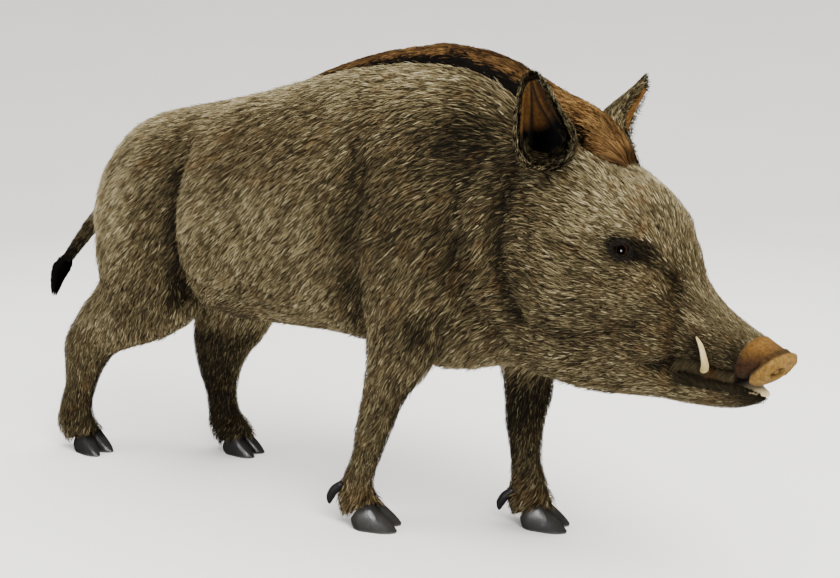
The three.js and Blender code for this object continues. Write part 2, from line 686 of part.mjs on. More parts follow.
// The trunk without its legs, and the head with room for the eyes, the tusks and the jaw.
let middle = Object.values(legs).reduce((body, leg) => body.subtract(legSpace(leg, gap)), wholeFlesh);
const jawPiece = middle.intersect(jawSpace());
middle = middle.subtract(jawSpace(gap));
for (const [, side] of sides) {
  middle = middle.subtract(eyeForm(side, gap));
  middle = middle.subtract(tuskForm(side, gap));
}
const tailForm = (grow = 0) => solid(taper(tail.path, tail.radii, { sides: facets.tail, steps: 2, grow }));

addNode('hindquarters', parted(middle, trunkCuts.hindquarters, false), coat);
let rest = parted(middle, trunkCuts.hindquarters, true);
addNode('barrel', parted(rest, trunkCuts.barrel, false), coat);
rest = parted(rest, trunkCuts.barrel, true);
addNode('shoulders', parted(rest, trunkCuts.shoulders, false), coat);
rest = parted(rest, trunkCuts.shoulders, true);
addNode('neck', parted(rest, trunkCuts.neck, false), coat);
rest = parted(rest, trunkCuts.neck, true);
addNode('head', parted(rest, snoutCuts.fur, false), coat);
rest = parted(rest, snoutCuts.fur, true);
addNode('snout', parted(rest, snoutCuts.seam, false), velour, 0.8);
addNode('snout_disc', discForm(), velour, 0.8);

// The jaw, with a bed cut for the lining of its lip.
function liningSlab(thickness, lift) {
  const { rear, front, behind, reach, width } = lipLining;
  const box = new THREE.BoxGeometry(behind + reach, width, thickness);
  box.translate((reach - behind) / 2, 0, thickness / 2 + lift);
  box.rotateY(-Math.atan2(front[1] - rear[1], front[0] - rear[0]));
  box.translate(rear[0], 0, rear[1]);
  return solid(moved(box, turned));
}
let jawNode = jawPiece.subtract(liningSlab(lipCut, 0));
for (const [, side] of sides) jawNode = jawNode.subtract(tuskForm(side, gap));
addNode('lower_jaw', jawNode, darkCoat);
const lining = jawForm(-lipLining.inset).intersect(liningSlab(lipLining.thickness, gap));
addNode('lip_lining', lining, feltCream);

for (const [name, side] of sides) {
  addNode(`${name}_eye`, eyeForm(side), black, 0.05);
  const lidPlace = { at: lids.at, side, roll: lids.roll, detail: facets.lids };
  const lid = headBall({ ...lidPlace, size: lids.size })
    .subtract(headBall({ ...lidPlace, size: lids.opening }))
    .subtract(eyeForm(side, gap));
  addNode(`${name}_eyelids`, lid.subtract(roomyFlesh), black);
  addNode(`${name}_tusk`, tuskForm(side), ivory, 0.35);
  addNode(`${name}_ear`, earForm(side).subtract(roomyFlesh), darkCoat);
}

addNode('tail', tailForm().subtract(roomyFlesh), darkCoat);
const tuftCore = solid(taper(tuft.path, tuftLocks.core, { sides: facets.tuft, steps: 2 }));
const fullTuft = union([tuftCore, ...tuftLockForms()]);
addNode('tail_tuft', fullTuft.subtract(tailForm(gap)), black);
const fullCrest = union([crestRidge(crestLocks.coreShare), ...crestLockForms()]);
addNode('crest', fullCrest.subtract(roomyFlesh), crestBrown);

group.position.set(originShift.x, originShift.y, -floorZ);

export default group;
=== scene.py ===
import math
import bpy
import numpy as np
from mathutils import Matrix, Vector


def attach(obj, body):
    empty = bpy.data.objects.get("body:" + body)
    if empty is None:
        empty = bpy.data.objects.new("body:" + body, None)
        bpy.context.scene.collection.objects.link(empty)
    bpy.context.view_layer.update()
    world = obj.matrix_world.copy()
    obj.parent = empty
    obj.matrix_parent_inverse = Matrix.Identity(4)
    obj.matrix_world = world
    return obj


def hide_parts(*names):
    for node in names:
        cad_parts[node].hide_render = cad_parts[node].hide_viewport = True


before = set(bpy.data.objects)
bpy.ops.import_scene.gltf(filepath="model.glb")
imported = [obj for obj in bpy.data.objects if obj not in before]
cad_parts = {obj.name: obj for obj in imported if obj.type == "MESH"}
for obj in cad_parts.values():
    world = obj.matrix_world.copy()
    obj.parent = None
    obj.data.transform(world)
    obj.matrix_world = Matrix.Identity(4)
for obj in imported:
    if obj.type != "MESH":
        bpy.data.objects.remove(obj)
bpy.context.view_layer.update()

# A stuffed wild boar with a faux-fur coat. Shapes are worked out in millimetres over the right
# fore hoof, x forward, y to the animal's left, z up, as straight as before the head is turned,
# and toFrame takes them to the frame of the solids.
body = {
    "shift": (113.8, 2.9, -11.5),
    "floor": 11.5,
    "turnPivot": 200,
    "turnStart": 150,
    "turnEnd": 330,
    "turnDegrees": 12.5,
}


def ease(value, start, end):
    # 0 before start, 1 after end, and a smooth step 3t^2 - 2t^3 between them
    t = np.clip((np.asarray(value, float) - start) / (end - start), 0, 1)
    return t * t * (3 - 2 * t)


def fade(value, start, end):
    # 1 before start and 0 after end
    return 1 - ease(value, start, end)


def mixed(first, second, share):
    # the first where the share is 0, the second where it is 1
    return first * (1 - share) + second * share


def bell(offset, width):
    # 1 at the middle and 1/e at the width
    return np.exp(-(offset / width) ** 2)


def drawn(draw, ends, count):
    # draws spread evenly between two ends
    return ends[0] + (ends[1] - ends[0]) * draw.random(count)


def rotated(x, y, angle):
    # x and y swung about the origin, from x towards y
    c, s = np.cos(angle), np.sin(angle)
    return x * c - y * s, x * s + y * c


def headAngle(x):
    # how far the neck has swung at the place x
    return -math.radians(body["turnDegrees"]) * ease(x, body["turnStart"], body["turnEnd"])


def turned(p, back=False):
    # the head's turn: x and y are swung about an upright line by an angle that grows with x. The
    # way back reads the angle at its own last answer, six times over
    p = np.array(p, float)
    away = p[..., 0] - body["turnPivot"]
    x, y = away, p[..., 1]
    for _ in range(6 if back else 1):
        angle = headAngle(x + body["turnPivot"]) * (-1 if back else 1)
        x, y = rotated(away, p[..., 1], angle)
    return np.stack([x + body["turnPivot"], y, p[..., 2]], -1)


def turnedWay(way, p, back=False):
    # a direction at the straight place p, swung as the head is there
    angle = headAngle(p[..., 0]) * (-1 if back else 1)
    return np.stack([*rotated(way[..., 0], way[..., 1], angle), way[..., 2]], -1)


def toFrame(p):
    # millimetres of the body to metres of the shared frame, and fromFrame is the way back
    return (np.asarray(p, float) + body["shift"]) / 1000


def fromFrame(p):
    # metres of the shared frame to millimetres of the body
    return np.asarray(p, float) * 1000 - body["shift"]


def unit(v):
    # the same direction with length 1
    return v / np.maximum(np.linalg.norm(v, axis=-1, keepdims=True), 1e-9)


def curve(points, t):
    # uniform Catmull-Rom: the ends are carried on, and a cubic joins each pair of points
    p = np.asarray(points, float)
    p = np.vstack([2 * p[0] - p[1], p, 2 * p[-1] - p[-2]])
    s = np.clip(t, 0, 1) * (len(p) - 3)
    i = np.minimum(s.astype(int), len(p) - 4)
    f = (s - i)[..., None]
    a, b, c, d = p[i], p[i + 1], p[i + 2], p[i + 3]
    square = a - 2.5 * b + 2 * c - 0.5 * d
    return b + 0.5 * f * (c - a) + f * f * square + f ** 3 * (1.5 * (b - c) + 0.5 * (d - a))


def table(rows, at):
    # a value read from rows of place and value, joined by straight lines
    rows = np.asarray(rows, float)
    return np.interp(at, rows[:, 0], rows[:, 1])


def softTable(rows, at, blur):
    # a table read at seven places round each value and averaged, so that it has no corners
    return np.mean([table(rows, at + step * blur) for step in np.linspace(-1, 1, 7)], 0)


def between(at, places, rows):
    # a whole row read at each place, its numbers joined by straight lines
    return np.stack([np.interp(at, places, rows[:, k]) for k in range(rows.shape[1])], -1)


def onLine(ends, x):
    # the height at x of the straight line between two ends, each an x and a z
    (rearX, rearZ), (frontX, frontZ) = ends
    return rearZ + (frontZ - rearZ) * (x - rearX) / (frontX - rearX)


def powered(v, power):
    # |v|^power with the sign of v
    return np.sign(v) * np.abs(v) ** power


def circle(count):
    # angles in equal steps once round
    return np.arange(count) * 2 * np.pi / count


def loft(stations, along, around, side=0, centre=0, grow=0, start=0, end=1):
    # a station is top x z, low x z, half width, belt, squareness and how far out it stands.
    # section point: middle + half * cos^(2/square) across, and towards the top or the low
    # point by |sin|^(2/square)
    rest = (0.5, 2, 0)
    rows = np.array([row + rest[len(row) - 5:] for row in stations.values()], float)
    c = curve(rows, np.linspace(start, end, along))
    top, low, half, belt, square, out = c[:, :2], c[:, 2:4], c[:, 4], c[:, 5], c[:, 6], c[:, 7]
    grow = np.broadcast_to(grow, along)
    away = unit(top - low) * grow[:, None]
    top, low = top + away, low - away
    angle, power = circle(around)[None], 2 / square[:, None]
    rise, wide = powered(np.sin(angle), power), powered(np.cos(angle), power)
    middle = low + (top - low) * belt[:, None]
    goal = np.where(rise[..., None] > 0, top[:, None], low[:, None])
    flat = middle[:, None] + (goal - middle[:, None]) * np.abs(rise)[..., None]
    y = side * (centre + out[:, None]) + (half + grow)[:, None] * wide
    return np.stack([flat[..., 0], y, flat[..., 1]], -1)


def sweep(path, radii, along, around, flat=1, grow=0, tipFrom=None):
    # a tapered form: an oval of radius r and r * flat is carried square to a curved path, and
    # from tipFrom on its rings close in by the root of 1 - t^2
    t = np.linspace(0, 1, along)
    line = curve(path, t)
    ahead = unit(np.gradient(line, axis=0))
    normal = unit(np.cross(ahead, (0.0, 1.0, 0.0)))
    across = np.cross(normal, ahead)
    radius = np.interp(t, np.linspace(0, 1, len(radii)), radii)[:, None, None] + grow
    angle = circle(around)[None, :, None]
    grid = line[:, None] + radius * (
        np.cos(angle) * across[:, None] + flat * np.sin(angle) * normal[:, None])
    if tipFrom:
        tip = np.sqrt(1 - np.clip((t - tipFrom) / (1 - tipFrom), 0, 0.97) ** 2)[:, None, None]
        middle = grid.mean(1, keepdims=True)
        grid = middle + (grid - middle) * tip
    return grid


def closed(grid):
    # a tube of rings becomes points, quads and the triangles of a rounded cap at each end
    rows, around = grid.shape[:2]
    i, k = np.meshgrid(np.arange(rows - 1), np.arange(around), indexing="ij")
    a, b = i * around + k, i * around + (k + 1) % around
    quads = np.stack([a, b, b + around, a + around], -1).reshape(-1, 4)
    points = np.vstack([grid.reshape(-1, 3), grid[0].mean(0), grid[-1].mean(0)])
    k = np.arange(around)
    n = rows * around
    first = np.stack([(k + 1) % around, k, np.full(around, n)], -1)
    last = np.stack([n - around + k, n - around + (k + 1) % around, np.full(around, n + 1)], -1)
    return points, quads, np.vstack([first, last])


def makeObject(name, points, *faces, material=None):
    # points and faces go into a mesh as whole arrays
    mesh = bpy.data.meshes.new(name)
    mesh.vertices.add(len(points))
    mesh.vertices.foreach_set("co", np.ascontiguousarray(points, np.float32).ravel())
    sizes = np.concatenate([np.full(len(f), f.shape[1]) for f in faces])
    loops = np.concatenate([f.ravel() for f in faces])
    mesh.loops.add(len(loops))
    mesh.loops.foreach_set("vertex_index", loops.astype(np.int32))
    mesh.polygons.add(len(sizes))
    mesh.polygons.foreach_set("loop_start", (np.cumsum(sizes) - sizes).astype(np.int32))
    mesh.update(calc_edges=True)
    mesh.polygons.foreach_set("use_smooth", np.ones(len(sizes), bool))
    if material:
        mesh.materials.append(material)
    return linked(bpy.data.objects.new(name, mesh))


def linked(thing):
    # the same object, now in the scene
    bpy.context.scene.collection.objects.link(thing)
    return thing


def makePiece(name, points, *faces, slot=None, nodes=(), material=None):
    # an object of the body root that hides the nodes that it stands in for; slot is not used
    piece = makeObject(name, points, *faces, material=material)
    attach(piece, "root")
    if nodes:
        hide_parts(*nodes)
    return piece


def makeForm(name, grid, node, slot, material, dye=None, flip=False, swings=True):
    # a tube of rings as one closed piece; the legs and the tail don't swing with the head
    points, quads, triangles = closed(grid)
    if flip:
        quads, triangles = quads[:, ::-1], triangles[:, ::-1]
    piece = makePiece(name, toFrame(turned(points) if swings else points), quads, triangles,
                      slot=slot, nodes=[node] if node else (), material=finish[material])
    if dye:
        paint(piece, linear(dye))
    return piece, points


def several(parts):
    # parts of points, quads and triangles are put together, each one's numbers moved on
    first = np.cumsum([0] + [len(points) for points, _, _ in parts])
    moved = [(p, q + n, t + n) for (p, q, t), n in zip(parts, first)]
    return [np.vstack(arrays) for arrays in zip(*moved)]


def paint(piece, colours):
    # a dye for each point, or one for all of them; on the coat, the snout, the ear linings and the
    # felt it also holds painted light and shade
    colours = np.broadcast_to(colours, (len(piece.data.vertices), 3))
    layer = piece.data.color_attributes.new("dye", "FLOAT_COLOR", "POINT")
    layer.data.foreach_set("color", np.column_stack(
        [colours, np.ones(len(colours))]).astype(np.float32).ravel())


def linear(hexColour):
    # an sRGB hex colour, or each one of several, turned to linear light
    if not isinstance(hexColour, str):
        return np.array([linear(each) for each in hexColour])
    c = np.array([int(hexColour[i:i + 2], 16) for i in (1, 3, 5)]) / 255
    return np.where(c <= 0.04045, c / 12.92, ((c + 0.055) / 1.055) ** 2.4)


def colour(hexColour):
    # the linear values with an alpha of 1
    return (*linear(hexColour), 1)


# Stations of the forms: top x and z, low x and z, half width, and where they differ belt,
# squareness and how far out the station stands.
trunk = {
    "tailRoot": (-609, 454, -609, 396, 24),
    "seat": (-594, 499, -596, 345, 60),
    "rump": (-567, 542, -570, 308, 90),
    "croup": (-522, 586, -534, 290, 113, 0.5, 2.1),
    "hips": (-462, 612, -466, 286, 125, 0.5, 2.1),
    "loin": (-392, 623, -388, 288, 130, 0.5, 2.1),
    "flank": (-292, 636, -292, 282, 134, 0.48, 2.1),
    "girth": (-190, 654, -190, 279, 136, 0.47, 2.1),
    "ribs": (-95, 670, -95, 279, 134, 0.47, 2.1),
    "withers": (0, 680, -5, 269, 130, 0.46, 2.1),
    "shoulder": (80, 679, 70, 250, 124, 0.46, 2.1),
    "brisket": (150, 664, 125, 253, 114, 0.46, 2.1),
    "neck": (218, 625, 185, 267, 104, 0.47, 2.1),
    "nape": (285, 590, 245, 263, 98, 0.46, 2.1),
    "poll": (341, 562, 300, 259, 92, 0.46, 2.1),
    "forehead": (388, 539, 350, 260, 84, 0.5, 2.1),
    "brow": (426, 508, 392, 265, 75, 0.55, 2.1),
    "nasion": (451, 465, 424, 274, 62, 0.5, 2.1),
    "bridge": (471, 424, 452, 290, 52, 0.45, 2.1),
    "muzzleRoot": (496, 396, 480, 317, 45, 0.4, 2.2),
    "muzzle": (522, 378, 508, 315.5, 40, 0.42, 2.3),
    "muzzleEnd": (548, 365, 533, 313.5, 34, 0.46, 2.4),
    "cone": (570, 354, 545, 312.8, 31, 0.5, 2.3),
    "discSeam": (588, 346, 553, 314, 30, 0.5, 2.1),
}
jaw = {
    "hinge": (400, 326, 385, 266, 58),
    "cheek": (450, 324, 440, 271, 50),
    "corner": (480, 317, 475, 270, 42, 0.6),
    "lip": (512, 313.5, 510, 272, 34, 0.6),
    "chin": (540, 309.5, 540, 278, 25, 0.6),
    "lipTip": (564, 299, 562, 287.5, 9, 0.6),
}
rightFore = {
    "shoulder": (120, 430, -20, 450, 40, 0.5, 2, 22),
    "upperArm": (130, 330, -12, 352, 42, 0.5, 2, 10),
    "elbow": (98, 264, -8, 284, 36),
    "forearm": (54, 212, -14, 222, 30),
    "knee": (28, 161, -29, 166, 25),
    "cannon": (8, 116, -39, 118, 20),
    "fetlock": (-3, 80, -56, 84, 21),
    "pastern": (2, 62, -67, 57, 23),
    "coronet": (12, 52, -57, 21, 25),
}
leftFore = {
    "shoulder": (190, 430, 50, 450, 36, 0.5, 2, 20),
    "upperArm": (215, 330, 92, 350, 40, 0.5, 2, 8),
    "elbow": (214, 258, 122, 272, 36),
    "forearm": (208, 213, 136, 215, 30),
    "knee": (197, 163, 139, 163, 25),
    "cannon": (195, 112, 147, 108, 20),
    "fetlock": (204, 78, 148, 74, 21),
    "pastern": (208, 62, 143, 52, 23),
    "coronet": (215, 51, 154, 24, 25),
}
rightHind = {
    "hip": (-400, 500, -528, 500, 38, 0.5, 2, 8),
    "thigh": (-362, 400, -562, 400, 56, 0.5, 2, 5),
    "stifle": (-354, 300, -571, 330, 56),
    "gaskin": (-428, 246, -630, 272, 42),
    "aboveHock": (-545, 206, -672, 222, 33),
    "hock": (-590, 170, -681, 183, 28),
    "cannon": (-615, 130, -686, 134, 23),
    "fetlock": (-629, 92, -704, 94, 22),
    "pastern": (-621, 66, -715, 58, 24),
    "coronet": (-609, 53, -690, 25, 26),
}
leftHind = {
    "hip": (-330, 500, -510, 500, 38, 0.5, 2, 8),
    "thigh": (-296, 400, -546, 400, 56, 0.5, 2, 6),
    "stifle": (-300, 306, -526, 322, 56),
    "gaskin": (-338, 240, -500, 258, 42),
    "aboveHock": (-378, 196, -506, 208, 32),
    "hock": (-402, 158, -501, 166, 27),
    "cannon": (-411, 116, -482, 120, 22),
    "fetlock": (-404, 84, -478, 84, 22),
    "pastern": (-384, 64, -472, 50, 24),
    "coronet": (-374, 52, -452, 23, 26),
}
toe = {
    "heel": (-33, 17, -27, -2, 6),
    "quarter": (-22, 31, -17, -6, 11, 0.35, 2.4),
    "crown": (-3, 39, -1, -7, 12.6, 0.32, 2.4),
    "wall": (13, 27, 13, -7, 12, 0.32, 2.4),
    "front": (27, 14, 26, -6, 8.6, 0.35, 2.4),
    "tip": (36, 4, 35, -2, 3),
}


def addNode(tree, kind, settings=None, **links):
    # one node with its settings; a link is given as (node, output), a fixed input as a value
    node = tree.nodes.new(kind)
    for name, value in (settings or {}).items():
        setattr(node, name, value)
    for name, value in links.items():
        socket = node.inputs[int(name[1:]) if name[1:].isdigit() else name.replace("_", " ")]
        if isinstance(value, tuple) and hasattr(value[0], "outputs"):
            tree.links.new(value[0].outputs[value[1]], socket)
        else:
            socket.default_value = value
    return node


def newMaterial(name, **values):
    # a plain surface, its inputs set by name
    material = bpy.data.materials.new(name)
    material.use_nodes = True
    shader = material.node_tree.nodes["Principled BSDF"]
    for key, value in values.items():
        shader.inputs[key.replace("_", " ")].default_value = value
    return material, material.node_tree, shader


def ramp(tree, source, *stops):
    # a colour ramp of (place, hex colour) stops
    node = addNode(tree, "ShaderNodeValToRGB", i0=(source, 0))
    while len(node.color_ramp.elements) < len(stops):
        node.color_ramp.elements.new(0.5)
    for element, (place, hexColour) in zip(node.color_ramp.elements, stops):
        element.position = place
        element.color = colour(hexColour)
    return node


def bump(tree, shader, height, distance, strength=1.0, under=None):
    # distance is the real height of the relief in metres
    node = addNode(tree, "ShaderNodeBump", Height=(height, 0), Distance=distance,
                   Strength=strength)
    if under:
        tree.links.new(under.outputs[0], node.inputs["Normal"])
    tree.links.new(node.outputs[0], shader.inputs["Normal"])
    return node


def objectNoise(tree, sizeMm, detail=3.0, rough=0.6, stretch=None):
    # noise on Object coordinates whose blobs are about sizeMm across
    source = (addNode(tree, "ShaderNodeTexCoord"), "Object")
    if stretch:
        source = (addNode(tree, "ShaderNodeMapping", Vector=source, Scale=stretch), 0)
    return addNode(tree, "ShaderNodeTexNoise", Vector=source, Scale=1000 / sizeMm / 1.6,
                   Detail=detail, Roughness=rough)


def mapped(tree, source, low, high, start=0.0, end=1.0):
    # a noise from start to end becomes a value from low to high
    return addNode(tree, "ShaderNodeMapRange", Value=(source, 0), From_Min=start, From_Max=end,
                   To_Min=low, To_Max=high)


def ownDye(tree):
    # the colour that paint gave each point of the piece
    return addNode(tree, "ShaderNodeAttribute", {"attribute_name": "dye"}), "Color"


def dyeTimes(tree, shader, shade):
    # the piece's own dye, made lighter and darker by a value
    mix = addNode(tree, "ShaderNodeVectorMath", {"operation": "SCALE"}, i0=ownDye(tree),
                  Scale=(shade, 0))
    tree.links.new(mix.outputs[0], shader.inputs["Base Color"])


def furMaterial(name, roughness):
    # acrylic faux fur: a soft, nearly matte pile whose colour was dyed along each hair, so its
    # colour is the piece's own "dye", which also holds painted light and shade, with a faint fleck
    # of about 4 mm over it
    material, tree, shader = newMaterial(name, Roughness=roughness, IOR=1.45,
                                         Specular_IOR_Level=0.06)
    dyeTimes(tree, shader, mapped(tree, objectNoise(tree, 4), 0.85, 1.15))
    return material, tree, shader


def makeFinishes():
    # every surface by name; the relief of each one is in metres
    finish = {"pile": furMaterial("acrylicPile", 0.82)[0]}

    # the woven back of the fur: dark, with a fine relief where the hair lies over it
    finish["backing"], tree, shader = furMaterial("furBacking", 0.9)
    bump(tree, shader, objectNoise(tree, 3, 4, 0.7, (0.4, 1, 1)), 0.0012)

    # velour: a cut pile under 1 mm, brushed, which goes lighter and darker in patches
    finish["velour"], tree, shader = newMaterial(
        "brushedVelour", Roughness=0.9, IOR=1.45, Specular_IOR_Level=0.1, Sheen_Weight=0.03,
        Sheen_Roughness=0.4)
    dyeTimes(tree, shader, mapped(tree, objectNoise(tree, 2.6, 3, 0.7), 0.55, 1.45, 0.3, 0.7))
    nap = bump(tree, shader, objectNoise(tree, 1.6, 4, 0.8), 0.0012)
    bump(tree, shader, objectNoise(tree, 5, 2, 0.5), 0.0012, 0.8, nap)

    # moulded ABS: satin, with mottled wear that shows lighter
    finish["hoof"], tree, shader = newMaterial("mouldedABS", Roughness=0.42, IOR=1.54)
    worn = objectNoise(tree, 14, 5, 0.65)
    dyeTimes(tree, shader, mapped(tree, worn, 0.75, 1.25))
    rub = mapped(tree, worn, 0.26, 0.46)
    tree.links.new(rub.outputs[0], shader.inputs["Roughness"])
    bump(tree, shader, objectNoise(tree, 2.5, 3, 0.6), 0.00025)

    # cast polyester resin, painted ivory: a soft gloss with faint streaks along it
    finish["tusk"], tree, shader = newMaterial("castResin", Roughness=0.34, IOR=1.53,
                                               Subsurface_Weight=0.12, Subsurface_Scale=0.004)
    streak = objectNoise(tree, 5, 3, 0.6, (1, 1, 0.25))
    tone = ramp(tree, streak, (0.3, "#857142"), (0.5, "#a59363"), (0.75, "#bcad82"))
    tree.links.new(tone.outputs[0], shader.inputs["Base Color"])
    bump(tree, shader, streak, 0.0002)

    # felt: matted cream fibres about 0.1 mm thick, drawn at 1 mm so that they show, and darker
    # where its dye holds painted shade, at the rear inside the mouth
    finish["felt"], tree, shader = newMaterial("creamFelt", Roughness=0.95, IOR=1.45,
                                               Sheen_Weight=0.2, Sheen_Roughness=0.5)
    fibre = objectNoise(tree, 1.4, 5, 0.8)
    tone = ramp(tree, fibre, (0.3, "#8a7a54"), (0.7, "#c9b88c"))
    shadedInMouth = addNode(tree, "ShaderNodeVectorMath", {"operation": "MULTIPLY"}, i0=(tone, 0),
                     i1=ownDye(tree))
    tree.links.new(shadedInMouth.outputs[0], shader.inputs["Base Color"])
    bump(tree, shader, fibre, 0.0006)

    # glass eye: painted from behind, so the iris is a thin brown ring under a clear gloss
    finish["eye"], tree, shader = newMaterial("glassEye", Roughness=0.06, IOR=1.5,
                                              Specular_IOR_Level=0.22)
    node, output = ownDye(tree)
    tree.links.new(node.outputs[output], shader.inputs["Base Color"])
    return finish


finish = makeFinishes()
print("finishes made")

skinSizes = {
    "depth": ((-620, 5), (300, 5), (380, 3.2), (600, 2.6)),   # how far it lies inside the coat
    "jawDepth": 2.5,
    "legDepth": 4.5,
    "voxel": 0.0043,
    "smoothing": 4,
    "legCentre": {"Fore": 70, "Hind": 72},
    "lining": ((506, 309.5), (566, 296)),      # the bed of the lip's lining, x and z
    "velour": (6, 303.5),                      # how far past the fur's edge, and its lowest z
    "eyeOpening": ((414, 451), (9.6, 7)),      # x and z, and its half width and height
}

# Creases and folds pressed into the stuffed body: side, width, depth, and a line of x and z.
creases = {
    "nearThigh": (-1, 13, 14, ((-322, 556), (-326, 540), (-332, 508), (-340, 478), (-343, 440),
                               (-346, 400), (-352, 360), (-358, 318))),
    "thighHollow": (-1, 28, 6, ((-352, 540), (-366, 480), (-372, 420), (-380, 350))),
    "farThigh": (1, 12, 10, ((-250, 560), (-262, 500), (-256, 430), (-250, 380), (-246, 330))),
    "flankFold": (0, 14, 5, ((-326, 362), (-269, 336), (-209, 305))),
    "nearElbow": (-1, 16, 9, ((22, 540), (15, 467), (6, 433), (2, 398), (-2, 354), (-6, 314))),
    "farElbow": (1, 14, 7, ((112, 540), (100, 490), (84, 440), (80, 382), (88, 313))),
    "brisket": (0, 10, 5, ((123, 327), (184, 363), (225, 310))),
    "shoulderFront": (0, 14, 6, ((160, 510), (157, 448), (164, 396), (167, 353))),
    "neckFold": (0, 18, 9, ((240, 540), (236, 521), (230, 483), (223, 441), (233, 395),
                            (252, 361))),
    "cheekUnder": (0, 11, 4, ((258, 352), (300, 343), (340, 338), (387, 344), (430, 362))),
    "mouthCorner": (0, 7, 4, ((430, 316), (449, 323), (468, 322), (500, 317))),
    "cheekSeam": (0, 6, 4, ((462, 410), (468, 392), (472, 374), (470, 347), (467, 326))),
    "eyeFold": (0, 9, 4, ((432, 440), (446, 428), (462, 412))),
}

# Swellings: side, place x y z, radius and height.
swellings = {
    "flankEdge": (-1, (-296, 130, 440), (26, 60, 110), 6),
    "brow": (0, (418, 62, 480), (26, 30, 12), 3.2),
    "cheek": (0, (350, 92, 400), (52, 50, 48), 8),
    "cheekLow": (0, (330, 84, 310), (60, 60, 26), 4),
    "socket": (0, (416, 70, 451), (19, 22, 11), -4),
    "upperLip": (0, (505, 42, 330), (34, 22, 14), 1.5),
    "shoulder": (-1, (85, 130, 430), (56, 60, 120), 8),
    "farShoulder": (1, (150, 130, 430), (50, 60, 110), 6),
    "neck": (0, (196, 104, 450), (18, 40, 80), 4),
    "haunch": (-1, (-450, 130, 440), (62, 60, 90), 7),
    "farHaunch": (1, (-400, 130, 440), (60, 60, 90), 6),
}


def lineDistance(x, z, line):
    # the least distance from places to the straight parts of a line
    line = np.asarray(line, float)
    best = np.full(len(x), 1e9)
    for (ax, az), (bx, bz) in zip(line[:-1], line[1:]):
        share = ((x - ax) * (bx - ax) + (z - az) * (bz - az)) / ((bx - ax) ** 2 + (bz - az) ** 2)
        share = np.clip(share, 0, 1)
        best = np.minimum(best, np.hypot(x - ax - share * (bx - ax), z - az - share * (bz - az)))
    return best


def blob(p, place, radius):
    # a bell of height 1 at a place, alike on both sides of the animal
    q = np.column_stack([p[:, 0], np.abs(p[:, 1]), p[:, 2]])
    return np.exp(-(((q - place) / radius) ** 2).sum(1))


def skinParts():
    # trunk, jaw and legs, each loft drawn in by how far the skin lies inside the coat
    size, rings = skinSizes, 150
    tops = np.array([row[:1] for row in trunk.values()], float)
    depth = table(size["depth"], curve(tops, np.linspace(0, 1, rings))[:, 0])
    grid = loft(jaw, 60, 48, grow=-size["jawDepth"])
    lowered = np.minimum(grid[..., 2], onLine(size["lining"], grid[..., 0]) - 0.8)
    rear = size["lining"][0][0]
    grid[..., 2] += (lowered - grid[..., 2]) * ease(grid[..., 0], rear - 14, rear + 4)
    parts = [closed(loft(trunk, rings, 90, grow=-depth)), closed(grid)]
    for stations, side, pair in ((rightFore, -1, "Fore"), (leftFore, 1, "Fore"),
                                 (rightHind, -1, "Hind"), (leftHind, 1, "Hind")):
        parts.append(closed(loft(stations, 80, 44, side, size["legCentre"][pair],
                                 -size["legDepth"])))
    return several(parts)


def meshArrays(mesh):
    # the points, and the four corners of each face
    points = np.empty(len(mesh.vertices) * 3, np.float32)
    mesh.vertices.foreach_get("co", points)
    corners = np.empty(len(mesh.loops), np.int32)
    mesh.loops.foreach_get("vertex_index", corners)
    return points.reshape(-1, 3).astype(float), corners.reshape(-1, 4)


def vertexNormals(points, quads):
    # the area-weighted mean of the normals of the faces round each point
    a, b, c, d = (points[quads[:, k]] for k in range(4))
    face = np.cross(c - a, d - b)
    normal = np.zeros_like(points)
    for k in range(4):
        for axis in range(3):
            normal[:, axis] += np.bincount(quads[:, k], face[:, axis], len(points))
    return unit(normal)


def smoothed(points, quads, rounds, share=0.5):
    # each point goes part of the way to the mean of its neighbours, then nearly all the way back
    start = quads.ravel()
    end = np.roll(quads, -1, 1).ravel()
    size = len(points)
    count = np.bincount(start, minlength=size) + np.bincount(end, minlength=size)
    for step in range(rounds * 2):
        mean = np.stack([(np.bincount(start, points[end, k], size)
                          + np.bincount(end, points[start, k], size)) / count
                         for k in range(3)], 1)
        points = points + (mean - points) * (share if step % 2 == 0 else -share * 0.92)
    return points


def makeSkin():
    # the lofts are joined into one surface by a voxel remesh, smoothed, and then pressed in and
    # out: each crease by -depth * e^-(distance / width)^2, each swelling by height * its bell
    points, quads, triangles = skinParts()
    rough = makePiece("skin_rough", toFrame(turned(points)), quads, triangles)
    remesh = rough.modifiers.new("oneSurface", "REMESH")
    remesh.mode = "VOXEL"
    remesh.voxel_size = skinSizes["voxel"]
    graph = bpy.context.evaluated_depsgraph_get()
    points, quads = meshArrays(rough.evaluated_get(graph).to_mesh())
    bpy.data.objects.remove(rough)
    points = smoothed(points, quads, skinSizes["smoothing"])
    normals = vertexNormals(points, quads)
    straight = turned(fromFrame(points), back=True)
    outward = normals[:, 1]
    push = np.zeros(len(points))
    for side, width, depth, line in creases.values():
        facing = ease(outward * side if side else np.abs(outward), 0.15, 0.5)
        if side:
            facing = facing * (straight[:, 1] * side > 0)
        near = lineDistance(straight[:, 0], straight[:, 2], line)
        push -= depth * bell(near, width) * facing
    for side, place, radius, height in swellings.values():
        facing = (straight[:, 1] * side > 0) if side else 1
        push += height * blob(straight, place, radius) * facing
    # soft hollows and swells of the stuffing, about 60 mm across
    push += mottle(straight, 60, 3, 3.2) * ease(-straight[:, 0], -330, -200)
    return points + normals * push[:, None] / 1000, quads


